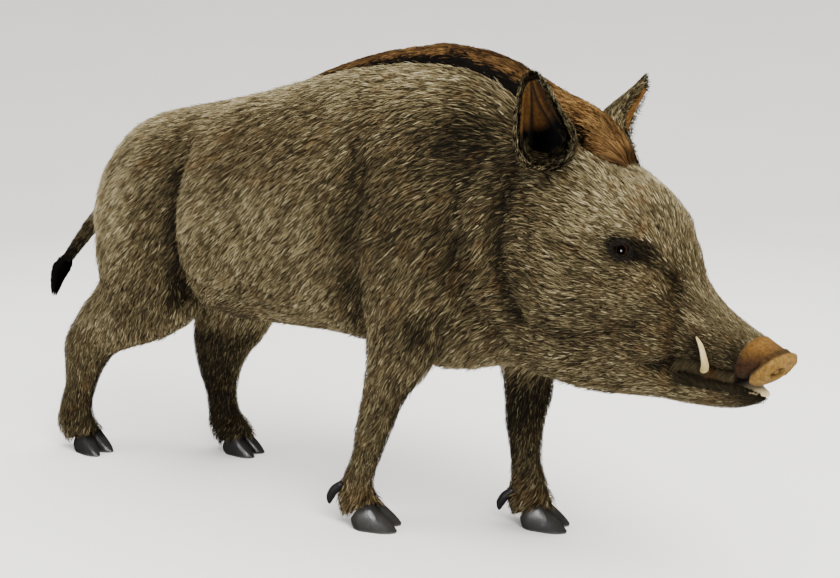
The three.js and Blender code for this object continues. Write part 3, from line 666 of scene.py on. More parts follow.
def noise(p, size, seed):
    # smooth noise from 0 to 1: random values at the corners of a grid, blended between them
    values = np.random.default_rng(seed).random(4096)
    q = np.asarray(p, float) / size
    cell = np.floor(q).astype(np.int64)
    f = q - cell
    f = f * f * (3 - 2 * f)
    total = np.zeros(len(q))
    for corner in range(8):
        step = np.array([corner & 1, corner >> 1 & 1, corner >> 2 & 1])
        key = (cell + step) * np.array([73856093, 19349663, 83492791])
        weight = np.where(step, f, 1 - f).prod(1)
        total += weight * values[(key[:, 0] ^ key[:, 1] ^ key[:, 2]) & 4095]
    return total


def mottle(p, size, seed, height):
    # noise from -height / 2 to height / 2
    return (noise(p, size, seed) - 0.5) * height


# Paler and darker fields: place x y z, radius and how much paler (+) or darker (-). They are partly
# the coat's own colour and partly painted light and shade: painted light on the rump, the loin and
# the forehead, painted shade behind the cheek, low on the cheek and the muzzle, at the fur's edge
# by the snout, behind the shoulder, low on the thigh, in the groin and on the legs.
fields = {
    "rump": ((-575, 60, 490), (86, 110, 125), 0.62),
    "forehead": ((392, 20, 525), (52, 70, 46), 0.4),
    "temple": ((350, 80, 490), (45, 50, 44), 0.08),
    "bridge": ((476, 10, 440), (40, 50, 60), -0.02),
    "muzzleTop": ((515, 20, 380), (30, 40, 26), -0.16),
    "cheekLow": ((390, 80, 350), (70, 60, 42), -0.4),
    "behindCheek": ((290, 95, 420), (40, 60, 60), -0.12),
    "jawLow": ((350, 60, 272), (90, 60, 24), -0.06),
    "cheek": ((345, 90, 415), (50, 60, 36), 0.04),
    "neckTop": ((165, 80, 585), (74, 60, 46), -0.42),
    "neck": ((222, 100, 450), (48, 90, 130), -0.3),
    "shoulderFront": ((150, 110, 430), (40, 60, 120), -0.12),
    "throat": ((230, 60, 300), (70, 90, 50), -0.24),
    "shoulder": ((70, 125, 480), (90, 70, 120), -0.4),
    "flankBack": ((-220, 120, 570), (130, 70, 56), -0.42),
    "rumpSide": ((-455, 95, 455), (34, 60, 80), 0.42),
    "thighLow": ((-465, 95, 298), (48, 60, 38), -0.3),
    "flankRear": ((-308, 125, 455), (20, 60, 72), 0.36),
    "loinSide": ((-272, 110, 585), (44, 70, 46), 0.42),
    "behindShoulder": ((10, 110, 575), (26, 70, 60), -0.4),
    "withers": ((168, 90, 568), (42, 60, 40), -0.4),
    "shoulderTop": ((70, 60, 625), (60, 50, 34), 0.28),
    "cheekBack": ((300, 90, 470), (40, 60, 50), -0.16),
    "shoulderEdge": ((160, 120, 430), (26, 60, 90), -0.2),
    "jawSide": ((374, 75, 342), (36, 60, 24), 0.42),
    "underEye": ((385, 80, 432), (36, 40, 26), -0.2),
    # painted shadow on the far foreleg under the chest
    "farElbow": ((165, 75, 228), (42, 38, 38), -0.62),
    # painted shadow under the belly, where it meets the far hind leg
    "groin": ((-285, 52, 286), (48, 52, 24), -0.65),
    "thigh": ((-420, 120, 350), (60, 60, 100), -0.26),
    "muzzleSide": ((522, 40, 340), (40, 40, 24), -0.34),
    "furEdge": ((545, 20, 340), (14, 50, 30), -0.3),
    "lipTip": ((562, 0, 292), (34, 30, 26), -0.8),
    "lipLine": ((500, 40, 312), (50, 40, 8), -0.6),
    "browDark": ((424, 40, 482), (7, 24, 22), -0.3),
    "hindFeet": ((-560, 80, 95), (220, 80, 66), -0.56),
    "hindLegs": ((-560, 90, 200), (200, 80, 60), -0.1),
    "foreLegs": ((90, 90, 190), (200, 80, 90), -0.28),
    "foreFeet": ((100, 80, 80), (200, 80, 60), -0.3),
    "belly": ((-150, 60, 270), (200, 90, 26), 0.22),
    "chest": ((150, 20, 255), (100, 60, 26), 0.4),
}
rustFields = {
    "browStreak": ((427, 43, 470), (4, 16, 12), 0.6),
    "cheekStreak": ((445, 60, 418), (22, 20, 14), 0.25),
    "foreCuff": ((80, 80, 62), (200, 60, 16), 0.35),
    "flank": ((-220, 120, 590), (130, 60, 50), 0.12),
    "seam": ((466, 50, 360), (8, 20, 40), 0.3),
    "lipPoint": ((517, 40, 318), (8, 20, 9), 0.8),
}

# Bands of painted shade along the folds, the seams of the face and under the tusks, where the pile
# is
# coloured darker so that the folds read: side, width, amount, and a line.
paintedShadeBands = {
    "thigh": (-1, 15, 0.66, ((-336, 520), (-342, 490), (-347, 460), (-350, 430),
                             (-354, 390), (-364, 350), (-376, 318))),
    "thighShade": (-1, 28, 0.2, ((-345, 575), (-362, 520), (-372, 480), (-380, 420), (-388, 350))),
    "elbow": (-1, 24, 0.36, ((10, 520), (4, 467), (-6, 433), (-10, 398), (-14, 354), (-18, 300))),
    "neckFold": (0, 17, 0.42, ((240, 545), (238, 521), (230, 483), (223, 441), (233, 395),
                               (252, 361))),
    "shoulderFront": (0, 13, 0.28, ((160, 510), (157, 448), (164, 396), (167, 353))),
    "armpit": (0, 26, 0.4, ((100, 316), (118, 330))),
    "cheekUnder": (0, 12, 0.3, ((258, 352), (300, 345), (340, 340), (387, 346), (430, 364),
                                (456, 392))),
    "eyeBand": (0, 10, 0.5, ((430, 446), (441, 438), (453, 428), (467, 414), (484, 404))),
    "faceLine": (0, 8, 0.5, ((462, 420), (467, 395), (472, 376), (470, 347), (466, 326))),
    "mouth": (0, 9, 0.55, ((440, 318), (468, 322), (500, 316))),
    "tuskBed": (0, 9, 0.6, ((496, 356), (503, 338), (506, 322))),
    "muzzleEnd": (0, 12, 0.4, ((550, 366), (545, 345), (546, 322))),
}

# How the coat is combed: place x y z, and the way it lies.
combed = {
    "back": ((-200, 50, 645), (-1, 0, -0.65)),
    "backSide": ((-200, 95, 600), (-1, 0, -1)),
    "withers": ((60, 50, 655), (-1, 0, -0.5)),
    "shoulderTop": ((70, 95, 595), (-1, 0, -0.9)),
    "loinTop": ((-330, 90, 595), (-1, 0, -0.9)),
    "flank": ((-180, 130, 480), (-1, 0, -0.95)),
    "flankLow": ((-200, 125, 370), (-1, 0, -1.05)),
    "belly": ((-180, 60, 290), (-1, 0, -0.4)),
    "rumpTop": ((-500, 40, 600), (-1, 0.1, -0.6)),
    "rumpEnd": ((-600, 40, 440), (-0.35, 0.15, -1)),
    "rumpSide": ((-570, 80, 480), (-0.6, 0, -1)),
    "haunch": ((-470, 125, 480), (-0.85, 0, -0.85)),
    "thigh": ((-450, 120, 340), (-0.8, 0, -1)),
    "hock": ((-600, 90, 220), (-0.45, 0, -1)),
    "hindShin": ((-650, 80, 120), (-0.08, 0, -1)),
    "farThigh": ((-400, 100, 300), (-0.5, 0, -1)),
    "farHock": ((-440, 90, 180), (-0.2, 0, -1)),
    "ribs": ((-60, 130, 460), (-1, 0, -0.95)),
    "shoulder": ((60, 128, 470), (-0.95, 0, -1)),
    "shoulderLow": ((60, 110, 330), (-0.7, 0, -1)),
    "foreArm": ((20, 90, 210), (-0.5, 0, -1)),
    "foreShin": ((0, 80, 110), (-0.3, 0, -1)),
    "farFore": ((170, 90, 200), (0, 0, -1)),
    "neck": ((190, 100, 450), (-1, 0, -0.95)),
    "neckUp": ((190, 90, 550), (-1, 0, -0.4)),
    "neckTop": ((230, 50, 600), (-1, 0.1, 0.25)),
    "chest": ((200, 40, 280), (-0.8, 0, -0.7)),
    "behindCheek": ((280, 92, 400), (-1, 0, 0.3)),
    "jowl": ((310, 80, 300), (-1, 0, 0.12)),
    "cheek": ((360, 92, 390), (-1, 0, 0.1)),
    "cheekFront": ((430, 65, 385), (-1, 0, 0)),
    "temple": ((350, 80, 480), (-1, 0.1, 0.5)),
    "forehead": ((395, 20, 525), (-0.8, 0.1, 1)),
    "underEye": ((430, 68, 420), (-1, 0, 0)),
    "nose": ((450, 20, 450), (-0.45, 0.1, 0.95)),
    "bridge": ((500, 20, 395), (-0.95, 0, 0.45)),
    "muzzle": ((490, 38, 370), (-1, 0, 0.3)),
    "muzzleSide": ((510, 40, 340), (-1, 0, 0.4)),
    "jaw": ((400, 50, 275), (-1, 0, -0.1)),
    "lip": ((530, 20, 290), (-1, 0, 0.05)),
}


def summed(patches, p):
    # the sum of the patches' bells, each times its amount
    return sum(amount * blob(p, place, radius) for place, radius, amount in patches.values())


def markingsAndPaintedLight(p):
    # how pale and how rusty the coat is at a place: the sum of its fields, partly its own colour
    # and partly painted light and shade, and its bands of painted shade, a paler ridge beside the
    # crest that is painted light from above, dark inner sides of the legs that are painted shade,
    # and mottling of three sizes
    x, side, z = p[:, 0], np.abs(p[:, 1]), p[:, 2]
    pale = 1 + summed(fields, p)
    # painted shade along the folds
    for flank, width, amount, line in paintedShadeBands.values():
        near = bell(lineDistance(x, z, line), width)
        pale -= amount * near * ease(p[:, 1] * flank if flank else side, 14, 34)
    # painted light along the top of the back, beside the crest
    spine = np.array([row[:2] for row in trunk.values()], float)
    depth = table(spine, x) - z
    pale += 0.34 * fade(depth, 6, 56) * fade(x, 60, 200) * ease(x, -640, -560)
    # painted shade on the inner sides of the legs, between them and under the body
    legs = fade(z, 222, 262) * (x < 260)
    high = 1 - 0.7 * fade(z, 90, 200) * (x > 60)
    pale -= 0.62 * legs * high * fade(side, 56, 84)
    # a slow change, patches, and small flecks
    pale += mottle(p, 90, 21, 0.26) + mottle(p, 26, 22, 0.26)
    rust = 0.04 + 0.3 * ease(noise(p, 14, 24), 0.55, 0.95) + summed(rustFields, p)
    return np.clip(pale, 0.1, 1.9), np.clip(rust, 0, 1)


def combedWay(p, normal):
    # the lie is the mean of the combed places, each weighed by 1 / (distance^2 + 30^2)^1.5,
    # with soft swirls, laid flat on the skin
    q = np.column_stack([p[:, 0], np.abs(p[:, 1]), p[:, 2]])
    way = np.zeros_like(p)
    for place, lie in combed.values():
        weight = (((q - place) ** 2).sum(1) + 30 ** 2) ** -1.5
        way += weight[:, None] * unit(np.array(lie, float))
    way[:, 1] *= np.sign(p[:, 1])
    way = flatOn(normal, unit(way))
    across = np.cross(normal, way)
    swirl = mottle(p, 80, 31, 0.4) + mottle(p, 9, 32, 0.5)
    return unit(way * np.cos(swirl)[:, None] + across * np.sin(swirl)[:, None])


def flatOn(normal, way):
    # a direction without its part along the normal
    return unit(way - normal * (way * normal).sum(1)[:, None])


def coatLength(p):
    # millimetres of pile: longest on the body, short on the face and the shins, long at the cuffs
    x, z = p[:, 0], p[:, 2]
    long = np.full(len(p), 14.5)
    for goal, share in ((9.5, ease(x, 320, 400) * (z > 240)), (6.5, ease(x, 455, 510)),
                        (10.5, fade(z, 150, 260) * (x < 260)), (14.5, fade(z, 62, 88))):
        long = long + (goal - long) * share
    return long


def tuftMesh(path, across, normal, wide, thick):
    # each tuft is a chain of three-cornered rings between a root and a tip: path is (tufts,
    # rings + 2, 3), and a ring has its corners at -wide / 2, +wide / 2 and thick above. It is
    # lit by soft normals, those of the skin leaning by 0.45 to the tuft's own sides
    tufts, rings = path.shape[0], path.shape[1] - 2
    middle = path[:, 1:-1]
    half = wide[:, 1:-1, None] / 2
    ring = np.stack([middle + across * half, middle + normal * thick[:, 1:-1, None],
                     middle - across * half], 2)
    points = np.concatenate([path[:, :1], ring.reshape(tufts, rings * 3, 3), path[:, -1:]], 1)
    lean = across * 0.45 + 0 * middle
    up = normal + 0 * middle
    soft = unit(np.stack([up + lean, up, up - lean], 2)).reshape(tufts, rings * 3, 3)
    soft = np.concatenate([up[:, :1], soft, up[:, -1:]], 1)
    k = np.arange(3)
    after = (k + 1) % 3
    faces = [np.stack([1 + after, 1 + k, np.zeros(3, int)], 1)]
    for r in range(rings - 1):
        low, high = 1 + r * 3, 4 + r * 3
        faces.append(np.stack([low + k, low + after, high + after], 1))
        faces.append(np.stack([low + k, high + after, high + k], 1))
    last, each = 1 + (rings - 1) * 3, rings * 3 + 2
    faces.append(np.stack([last + k, last + after, np.full(3, each - 1)], 1))
    faces = np.vstack(faces)[None] + each * np.arange(tufts)[:, None, None]
    return points.reshape(-1, 3), faces.reshape(-1, 3), soft.reshape(-1, 3)


def hairMesh(root, lie, outward, across, long, way, wide, first=0.4, over=0.1, sunk=0):
    # hairs of one ring: the first part of the length goes the given way, and the rest lies down,
    # still rising by over
    middle = root + long * first * way
    tip = middle + long * (1 - first) * (lie + outward * over)
    width = np.repeat(wide, 3, 1)
    return tuftMesh(np.stack([root - outward * sunk, middle, tip], 1), across[:, None],
                    outward[:, None], width, width * 0.3)


def lockMesh(path, angle, widths, thick, draw):
    # hairs of two rings that lie square to their own path, with the flat side outward
    outward = np.column_stack([0 * angle, np.cos(angle), np.sin(angle)])[:, None]
    ahead = unit(path[:, 2:] - path[:, :-2])
    across = unit(np.cross(outward, ahead))
    width = np.zeros(path.shape[:2])
    width[:, 1:-1] = np.array(widths) * (0.7 + 0.6 * draw.random(len(path))[:, None])
    return tuftMesh(path, across, np.cross(ahead, across), width, width * thick)


def makeTufts(name, tufts, tints, roots, slot):
    # tints are those of root, rings and tip. roots is the place of each tuft on an unwrap of the
    # skin, from 0 to 1; the tuft is a patch 0.003 across there, in the uv map OFBake
    points, faces, soft = tufts
    rings = tints.shape[1] - 2
    piece = makePiece(name, toFrame(turned(points)), faces, slot=slot, material=finish["pile"])
    paint(piece, np.repeat(tints, [1] + [3] * rings + [1], 1).reshape(-1, 3))
    layer = piece.data.attributes.new("custom_normal", "FLOAT_VECTOR", "POINT")
    layer.data.foreach_set("vector", turnedWay(soft, points).astype(np.float32).ravel())
    local = [[0, 0]]
    for share in np.linspace(0, 1, rings + 2)[1:-1]:
        local += [[0.5, share], [0.1, share + 0.08], [-0.5, share]]
    local = (np.array(local + [[0, 1]]) - [0, 0.5]) * 0.003
    places = (roots[:, None] * 0.99 + 0.005 + local).reshape(-1, 2)
    layer = piece.data.uv_layers.new(name="OFBake")
    layer.data.foreach_set("uv", places[faces.ravel()].astype(np.float32).ravel())
    print(name, len(roots), "tufts", len(faces), "triangles")


# The dyed pile: its colour by how pale it is, and the brown that a rusty place mixes in.
pile = {
    "tones": ((0, "#0d0b07"), (0.5, "#322b1b"), (1, "#594f37"), (1.5, "#827858"), (2.2, "#b7ae8f")),
    "rust": "#533719",
    "along": (0.35, 0.85, 1.12),      # how pale the root, the middle and the tip are
    "fleck": 1.6,                     # how strongly clumps about 3 mm across differ
    "draw": 0.32,                     # how much each tuft differs from the next
    "odd": (0.1, -0.6, 0.08, 0.5),    # the share of dark and of cream tufts, and their change
}


def pileColour(value, rust):
    # the tones are joined by straight lines in linear light, and then rust is mixed in
    places, tones = zip(*pile["tones"])
    share = rust[..., None]
    brown = linear(pile["rust"]) * np.minimum(value, 1.4)[..., None]
    return mixed(between(value, places, linear(tones)), brown, share)


def dyedAndPaintedLight(p, lie, draw, tone=0.0):
    # how pale a tuft is: its place's markings with their painted light and shade, flecks drawn out
    # along the lie, and its own draw
    pale, rust = markingsAndPaintedLight(p)
    fleck = np.mean([noise(p + lie * step, 2.9, 25) for step in (-6, -3, 0, 3, 6)], 0)
    value = (pale + tone) * (1 + (fleck - 0.5) * pile["fleck"])
    value = value + draw.normal(0, pile["draw"], len(p))
    odd = draw.random(len(p))
    darkShare, darker, creamShare, paler = pile["odd"]
    value += np.where(odd < darkShare, darker, np.where(odd > 1 - creamShare, paler, 0))
    value = value.clip(0.04, 2.2)[:, None] * pile["along"]
    return pileColour(value, np.repeat(rust[:, None], 3, 1))


def scatter(points, quads, density, count, draw):
    # roots spread over the faces in step with area * density: the summed weight is cut into
    # equal lengths with one draw in each
    triangles = np.vstack([quads[:, :3], quads[:, [0, 2, 3]]]).reshape(2, -1, 3)
    triangles = triangles.transpose(1, 0, 2).reshape(-1, 3)
    a, b, c = (points[triangles[:, k]] for k in range(3))
    area = np.linalg.norm(np.cross(b - a, c - a), axis=1) / 2
    weight = np.cumsum(area * density[triangles].mean(1))
    at = (np.arange(count) + draw.random(count)) / count * weight[-1]
    pick = np.minimum(np.searchsorted(weight, at), len(triangles) - 1)
    u, v = draw.random((2, count))
    flip = u + v > 1
    u, v = np.where(flip, 1 - u, u), np.where(flip, 1 - v, v)
    return triangles[pick], np.stack([1 - u - v, u, v], 1)


coat = {
    "tufts": 186000,
    "quick": 0.4,            # a smaller share of them, each wider by the next number
    "quickWidth": 1.45,
    "seed": 41,
    "width": 0.1,            # of its length
    "thick": 0.3,            # of its width
    "sunk": 1.6,             # mm that a root is under the skin
    "first": 0.4,            # the part of the length before the bend
    "lift": (0.44, 0.14),    # radians above the skin, at the root and at the tip
    "liftDraw": 0.35,
    "lump": 1.3,             # how much more some clumps stand up than others
    "loose": 0.12,           # the share of thin hairs that stand off and soften the outline
    "looseLift": 1.8,
    "looseWidth": 0.7,
    "turn": 0.1,
    "bend": 0.07,
}

# The coat is sewn of these lengths of fur, from the tail to the snout, with the legs apart.
coatPieces = {
    "rump_coat": (-700, -455),
    "loin_coat": (-455, -335),
    "flank_coat": (-335, -200),
    "rib_coat": (-200, -60),
    "shoulder_coat": (-60, 80),
    "brisket_coat": (80, 215),
    "neck_coat": (215, 320),
    "cheek_coat": (320, 428),
    "muzzle_coat": (428, 700),
}
legPieces = {"hind_leg_coat": (-800, -250), "fore_leg_coat": (-250, 300)}
legRegion = {"top": 262, "front": 260}


def fewer(count):
    # the count of hairs, all of them kept
    return int(count * (1))


def unwrapped(p, low, high):
    # a place round the middle line of the body and along it, each from 0 to 1
    middle = np.interp(p[:, 0], (-600, 0, 300, 560), (430, 460, 420, 325))
    about = np.arctan2(p[:, 1], p[:, 2] - middle) / (2 * np.pi) + 0.5
    return np.stack([about, ((p[:, 0] - low) / (high - low)).clip(0, 1)], 1)


def unwrappedLeg(p, hind):
    # the two legs of a pair lie side by side, each turned open round its own middle line
    centre = skinSizes["legCentre"]["Fore"]
    pair = (rightHind, leftHind) if hind else (rightFore, leftFore)
    about = np.zeros(len(p))
    for side, stations in zip((-1, 1), pair):
        rows = np.array([row[:4] for row in stations.values()])[::-1]
        middle = np.interp(p[:, 2], (rows[:, 1] + rows[:, 3]) / 2, (rows[:, 0] + rows[:, 2]) / 2)
        angle = np.arctan2(p[:, 1] * side - centre, p[:, 0] - middle) / (2 * np.pi) + 0.5
        about = np.where(p[:, 1] * side > 0, (angle + (side > 0)) / 2, about)
    return np.stack([about, (p[:, 2] / legRegion["top"]).clip(0, 1)], 1)


def bare(p, normal):
    # where no tuft grows: under the velour, on the bed of the lip, in the mouth and in the
    # opening of each eye, and under the feet
    x, z, up = p[:, 0], p[:, 2], normal[:, 2]
    edgeX, edgeZ, lean = snout["furEdge"]
    lean = math.radians(lean)
    ahead = (x - edgeX) * math.cos(lean) - (z - edgeZ) * math.sin(lean)
    past, lowest = skinSizes["velour"]
    velour = (ahead > past) & (z > lowest)
    rear, bedZ = skinSizes["lining"][0][0], onLine(skinSizes["lining"], x)
    bed = (x > rear) & (up > 0.5) & (np.abs(z - bedZ) < 4)
    palate = (x > rear - 6) & (up < -0.6) & (z > bedZ + 3)
    place, radii = skinSizes["eyeOpening"]
    eye = ((((p[:, ::2] - place) / radii) ** 2).sum(1) < 1) & (np.abs(p[:, 1]) > 45)
    foot = (z < 50) & (up < -0.5)
    return velour | bed | palate | eye | foot


def makeCoat(points, quads):
    # tufts spread over the skin, denser where they are shorter: density = length ^ -1.6
    straight = turned(fromFrame(points), back=True)
    normals = turnedWay(vertexNormals(points, quads), straight, back=True)
    draw = np.random.default_rng(coat["seed"])
    density = coatLength(straight) ** -1.6 * ~bare(straight, normals)
    count = fewer(coat["tufts"])
    corners, share = scatter(straight, quads, density, count, draw)
    root = (straight[corners] * share[..., None]).sum(1)
    normal = unit((normals[corners] * share[..., None]).sum(1))
    lie = combedWay(root, normal)
    tint = darkened(dyedAndPaintedLight(root, lie, draw), root, draw)
    turn = draw.normal(0, coat["turn"], count)[:, None]
    lie = unit(lie * np.cos(turn) + np.cross(normal, lie) * np.sin(turn))
    across = np.cross(normal, lie)
    long = (coatLength(root) * (0.75 + 0.5 * draw.random(count)))[:, None]
    lump = (np.mean([noise(root + lie * step, 9, 51) for step in (-5, 0, 5)], 0) - 0.5)[:, None]
    spread = 1 + coat["liftDraw"] * (draw.random(count)[:, None] * 2 - 1) + lump * coat["lump"]
    loose = draw.random(count)[:, None] < coat["loose"]
    spread = spread * np.where(loose, coat["looseLift"], 1)
    rise = coat["lift"][0] * spread * (1 + 0.2 * fade(root[:, 2], 58, 90)[:, None])
    fall = coat["lift"][1] * spread
    middle = root + long * coat["first"] * (lie * np.cos(rise) + normal * np.sin(rise))
    side = draw.normal(0, coat["bend"], count)[:, None]
    ahead = lie * np.cos(side) + across * np.sin(side)
    tip = middle + long * (1 - coat["first"]) * (ahead * np.cos(fall) + normal * np.sin(fall))
    path = np.stack([root - normal * coat["sunk"], middle, tip], 1)
    wide = np.repeat(long * coat["width"] * (0.8 + 0.4 * draw.random(count)[:, None]), 3, 1)
    wide = wide * np.where(loose, coat["looseWidth"], 1)
    wide = wide * 1
    legs = (root[:, 2] < legRegion["top"]) & (root[:, 0] < legRegion["front"])
    for name, (low, high) in (coatPieces | legPieces).items():
        onLeg = name in legPieces
        here = (legs == onLeg) & (root[:, 0] >= low) & (root[:, 0] < high)
        mesh = tuftMesh(path[here], across[here, None], normal[here, None], wide[here],
                        wide[here] * coat["thick"])
        roots = unwrappedLeg(root[here], high < 0) if onLeg else unwrapped(root[here], low, high)
        makeTufts(name, mesh, tint[here], roots, "coat_pile")


# Black hair lies round each eye, in a tilted oval, and on the rim of the lower lip.
soot = {
    "dye": "#0c0906",
    "eye": ((419, 451), 20, (31, 14), 1.7),     # x and z, tilt, half width and height, strength
    "lip": ((548, 0, 299), (36, 30, 9), 1.3),
}


def darkened(colours, p, draw):
    # a tuft turns black as often as the patch is strong, and the more so the stronger it is
    (eyeX, eyeZ), tilt, (wide, tall), amount = soot["eye"]
    x, z = rotated(p[:, 0] - eyeX, p[:, 2] - eyeZ, math.radians(tilt))
    patch = amount * np.exp(-((x / wide) ** 2 + (z / tall) ** 2)) * (np.abs(p[:, 1]) > 40)
    place, radius, amount = soot["lip"]
    dark = np.clip(patch + blob(p, place, radius) * amount, 0, 1)[:, None, None]
    black = linear(soot["dye"]) * (0.6 + 0.9 * draw.random(len(p)))[:, None, None]
    return mixed(colours, black, dark ** 0.5 * (draw.random(len(p))[:, None, None] < dark))


crest = {
    "rear": -172, "front": 374, "half": 26, "sunk": 4, "under": 14,
    "height": ((-172, 2), (-92, 14), (-46, 18), (0, 20), (80, 27), (160, 27), (222, 33),
               (309, 40), (346, 29), (374, 12)),
    "coreWidth": 0.86, "coreShare": 0.6, "fullHeight": 18,
    "coreEnd": 24,                      # how far before the front its backing ends
    "coreDye": ("#140c06", "#2e1c0d"),  # behind and at the nape
    "locks": 13200,
    "rootsAt": (-156, 376),
    "length": (28, 54),
    "steps": (0, 0.3, 0.66, 1),
    "rise": (0.46, 0.86, 0.99, 0.93),   # how high a hair lies there, as a share of the crest
    "width": (1.5, 1.3),                # at the two rings
    "seed": 61,
    "kinds": (("#180f08", "#402c17", "#6d532f"), ("#130c06", "#30210f", "#4b351c"),
              ("#0d0905", "#1b1109", "#291b0e"), ("#040302", "#070504", "#0c0906")),
}
spineLine = curve([(row[0], 0, row[1]) for row in trunk.values()], np.linspace(0, 1, 1500))
spineAhead = unit(np.gradient(spineLine, axis=0))


def upward(ahead):
    # square to a direction, in the upright plane that runs along the animal
    return np.stack([-ahead[..., 2], 0 * ahead[..., 0], ahead[..., 0]], -1)


def ridge(x, angle, share):
    # up the section by full * share * sin(angle)^0.8 and across by half * cos(angle)
    at = between(x, spineLine[:, 0], spineLine)
    up = upward(between(x, spineLine[:, 0], spineAhead))
    full = softTable(crest["height"], x, 14)
    rise = np.sin(angle)
    lift = np.where(rise > 0, full * share * np.abs(rise) ** 0.8, crest["under"] * rise)
    half = crest["half"] * np.minimum(1, 0.45 + full / crest["fullHeight"])
    half = half * (1 - 0.3 * ease(x, 325, 374))
    at = at + up * (lift - crest["sunk"])[..., None]
    at[..., 1] += half * (crest["coreWidth"] + (1 - crest["coreWidth"]) * share) * np.cos(angle)
    return at


def crestDye(angle, x, draw, count):
    # tan and chestnut over the top, nearly black at the lower edges, partly the mane's own dark
    # hair and partly painted shade where it lies over the coat, paler at the nape
    side = np.abs(angle - math.pi / 2)
    kinds = linear(crest["kinds"])
    start = 1.14 - 0.26 * ease(x, -80, 40) - 0.1 * ease(x, 110, 200)
    edge = ease(side + draw.normal(0, 0.14, count), start, start + 0.3)
    flow = np.column_stack([x * 0.4, angle * 26, x * 0])
    pale = noise(flow, 5, 62) * 0.6 + draw.random(count) * 0.55
    head, nape = ease(x, 210, 300), ease(x, 338, 360)
    pale = pale + 0.22 * head + 0.08 * fade(x, -120, 40)
    pick = np.where(draw.random(count) < edge * (1 - 0.15 * head) * (1 - nape), 3,
                    np.where(pale > 0.84, 0, np.where(pale > 0.5, 1, 2)))
    tint = kinds[pick] * (0.6 + 0.8 * draw.random(count))[:, None, None]
    tint[:, 0] = mixed(tint[:, 0], tint[:, 1] * 0.8, nape[:, None])
    # darker tufts of the mane, about 20 mm apart
    return tint * (0.7 + 0.6 * noise(flow, 16, 65) + 0.06 * head)[:, None, None]


def makeCrest():
    # a dark core, with the long hair of the mane standing on it
    x = np.linspace(crest["rear"], crest["front"] - crest["coreEnd"], 150)[:, None]
    grid = ridge(*np.broadcast_arrays(x, circle(44)[None]), crest["coreShare"])
    core, points = makeForm("crest_backing", grid, "crest", "crest_pile", "backing")
    paint(core, mixed(*linear(crest["coreDye"]), ease(points[:, :1], 290, 340)))

    draw = np.random.default_rng(crest["seed"])
    count = fewer(crest["locks"])
    place = (np.arange(count) + draw.random(count)) / count
    first, last = crest["rootsAt"]
    x = first + (last - first) * place + draw.normal(0, 2.5, count)
    angle = np.radians(4 + 172 * draw.random(count))
    reach = drawn(draw, crest["length"], count)
    reach = reach * (0.55 + 0.45 * ease(x, crest["rear"], crest["rear"] + 70))
    reach = np.minimum(reach, x - crest["rear"] + 6)
    flow = np.column_stack([x, angle * 30, x * 0])
    wave = mottle(flow, 24, 63, 0.5) + draw.normal(0, 0.06, count)
    fluff = 1 + mottle(flow, 17, 64, 0.16)
    path = []
    for step, rise in zip(crest["steps"], crest["rise"]):
        side = (angle - math.pi / 2) * (1 + 0.2 * step) + wave * step
        share = rise * (fluff if step else 1 - 0.8 * ease(x, 345, 362))
        share = share + draw.normal(0, 0.03, count)
        path.append(ridge(x - reach * step, math.pi / 2 + side.clip(-1.62, 1.62), share))
    tufts = lockMesh(np.stack(path, 1), angle, crest["width"], 0.3, draw)
    rootTint, middle, tip = crestDye(angle, x, draw, count).transpose(1, 0, 2)
    tints = np.stack([rootTint, mixed(middle, rootTint, 0.4), mixed(tip, middle, 0.4), tip], 1)
    makeTufts("crest_hair", tufts, tints, np.stack([place, angle / np.pi], 1), "crest_pile")


tail = {
    "path": ((-580, 0, 452), (-632, 0, 447), (-676, 0, 419), (-722, 0, 379), (-765, 0, 340)),
    "radii": (17, 16.5, 15, 13, 10),
    "depth": 5,
    "tufts": 6400,
    "seed": 71,
    "length": 15,
    "width": 1.5,
    "rise": 0.46,            # radians above the skin
    "bend": 0.14,
    "kinds": (("#100c08", "#272015", "#423926"), ("#0d0a07", "#1b150d", "#272014"),
              ("#15110b", "#3c3320", "#655a3f"), ("#070605", "#0c0a07", "#0f0c08")),
}
tuft = {
    "path": ((-757, 0, 348), (-784, 0, 321), (-799, 0, 297), (-811, 0, 266)),
    "radii": (11, 13.5, 10, 4),
    "core": (7, 6, 3.2, 0.8),
    "locks": 2200,
    "length": (30, 56),
    "span": 95,                         # the length of its path
    "out": ((0, 0.3), (0.3, 0.75), (0.66, 1.0), (1, 0.9)),   # how far out a lock lies, by step
    "width": (1.7, 1.4),
    "dye": ("#050403", "#0a0806", "#120f0c"),
}


def lineAt(path, share):
    # the place and the direction at a share of a path
    at = np.linspace(0, 1, 400)
    line = curve(path, at)
    return between(share, at, line), between(share, at, unit(np.gradient(line, axis=0)))


def roundPath(path, radii, share, angle, out):
    # a point at out times the radius from the path, and the way outward there
    place, ahead = lineAt(path, share)
    outward = np.sin(angle)[..., None] * upward(ahead)
    outward[..., 1] += np.cos(angle)
    radius = np.interp(share, np.linspace(0, 1, len(radii)), radii)
    return place + outward * (radius * out)[..., None], outward, ahead


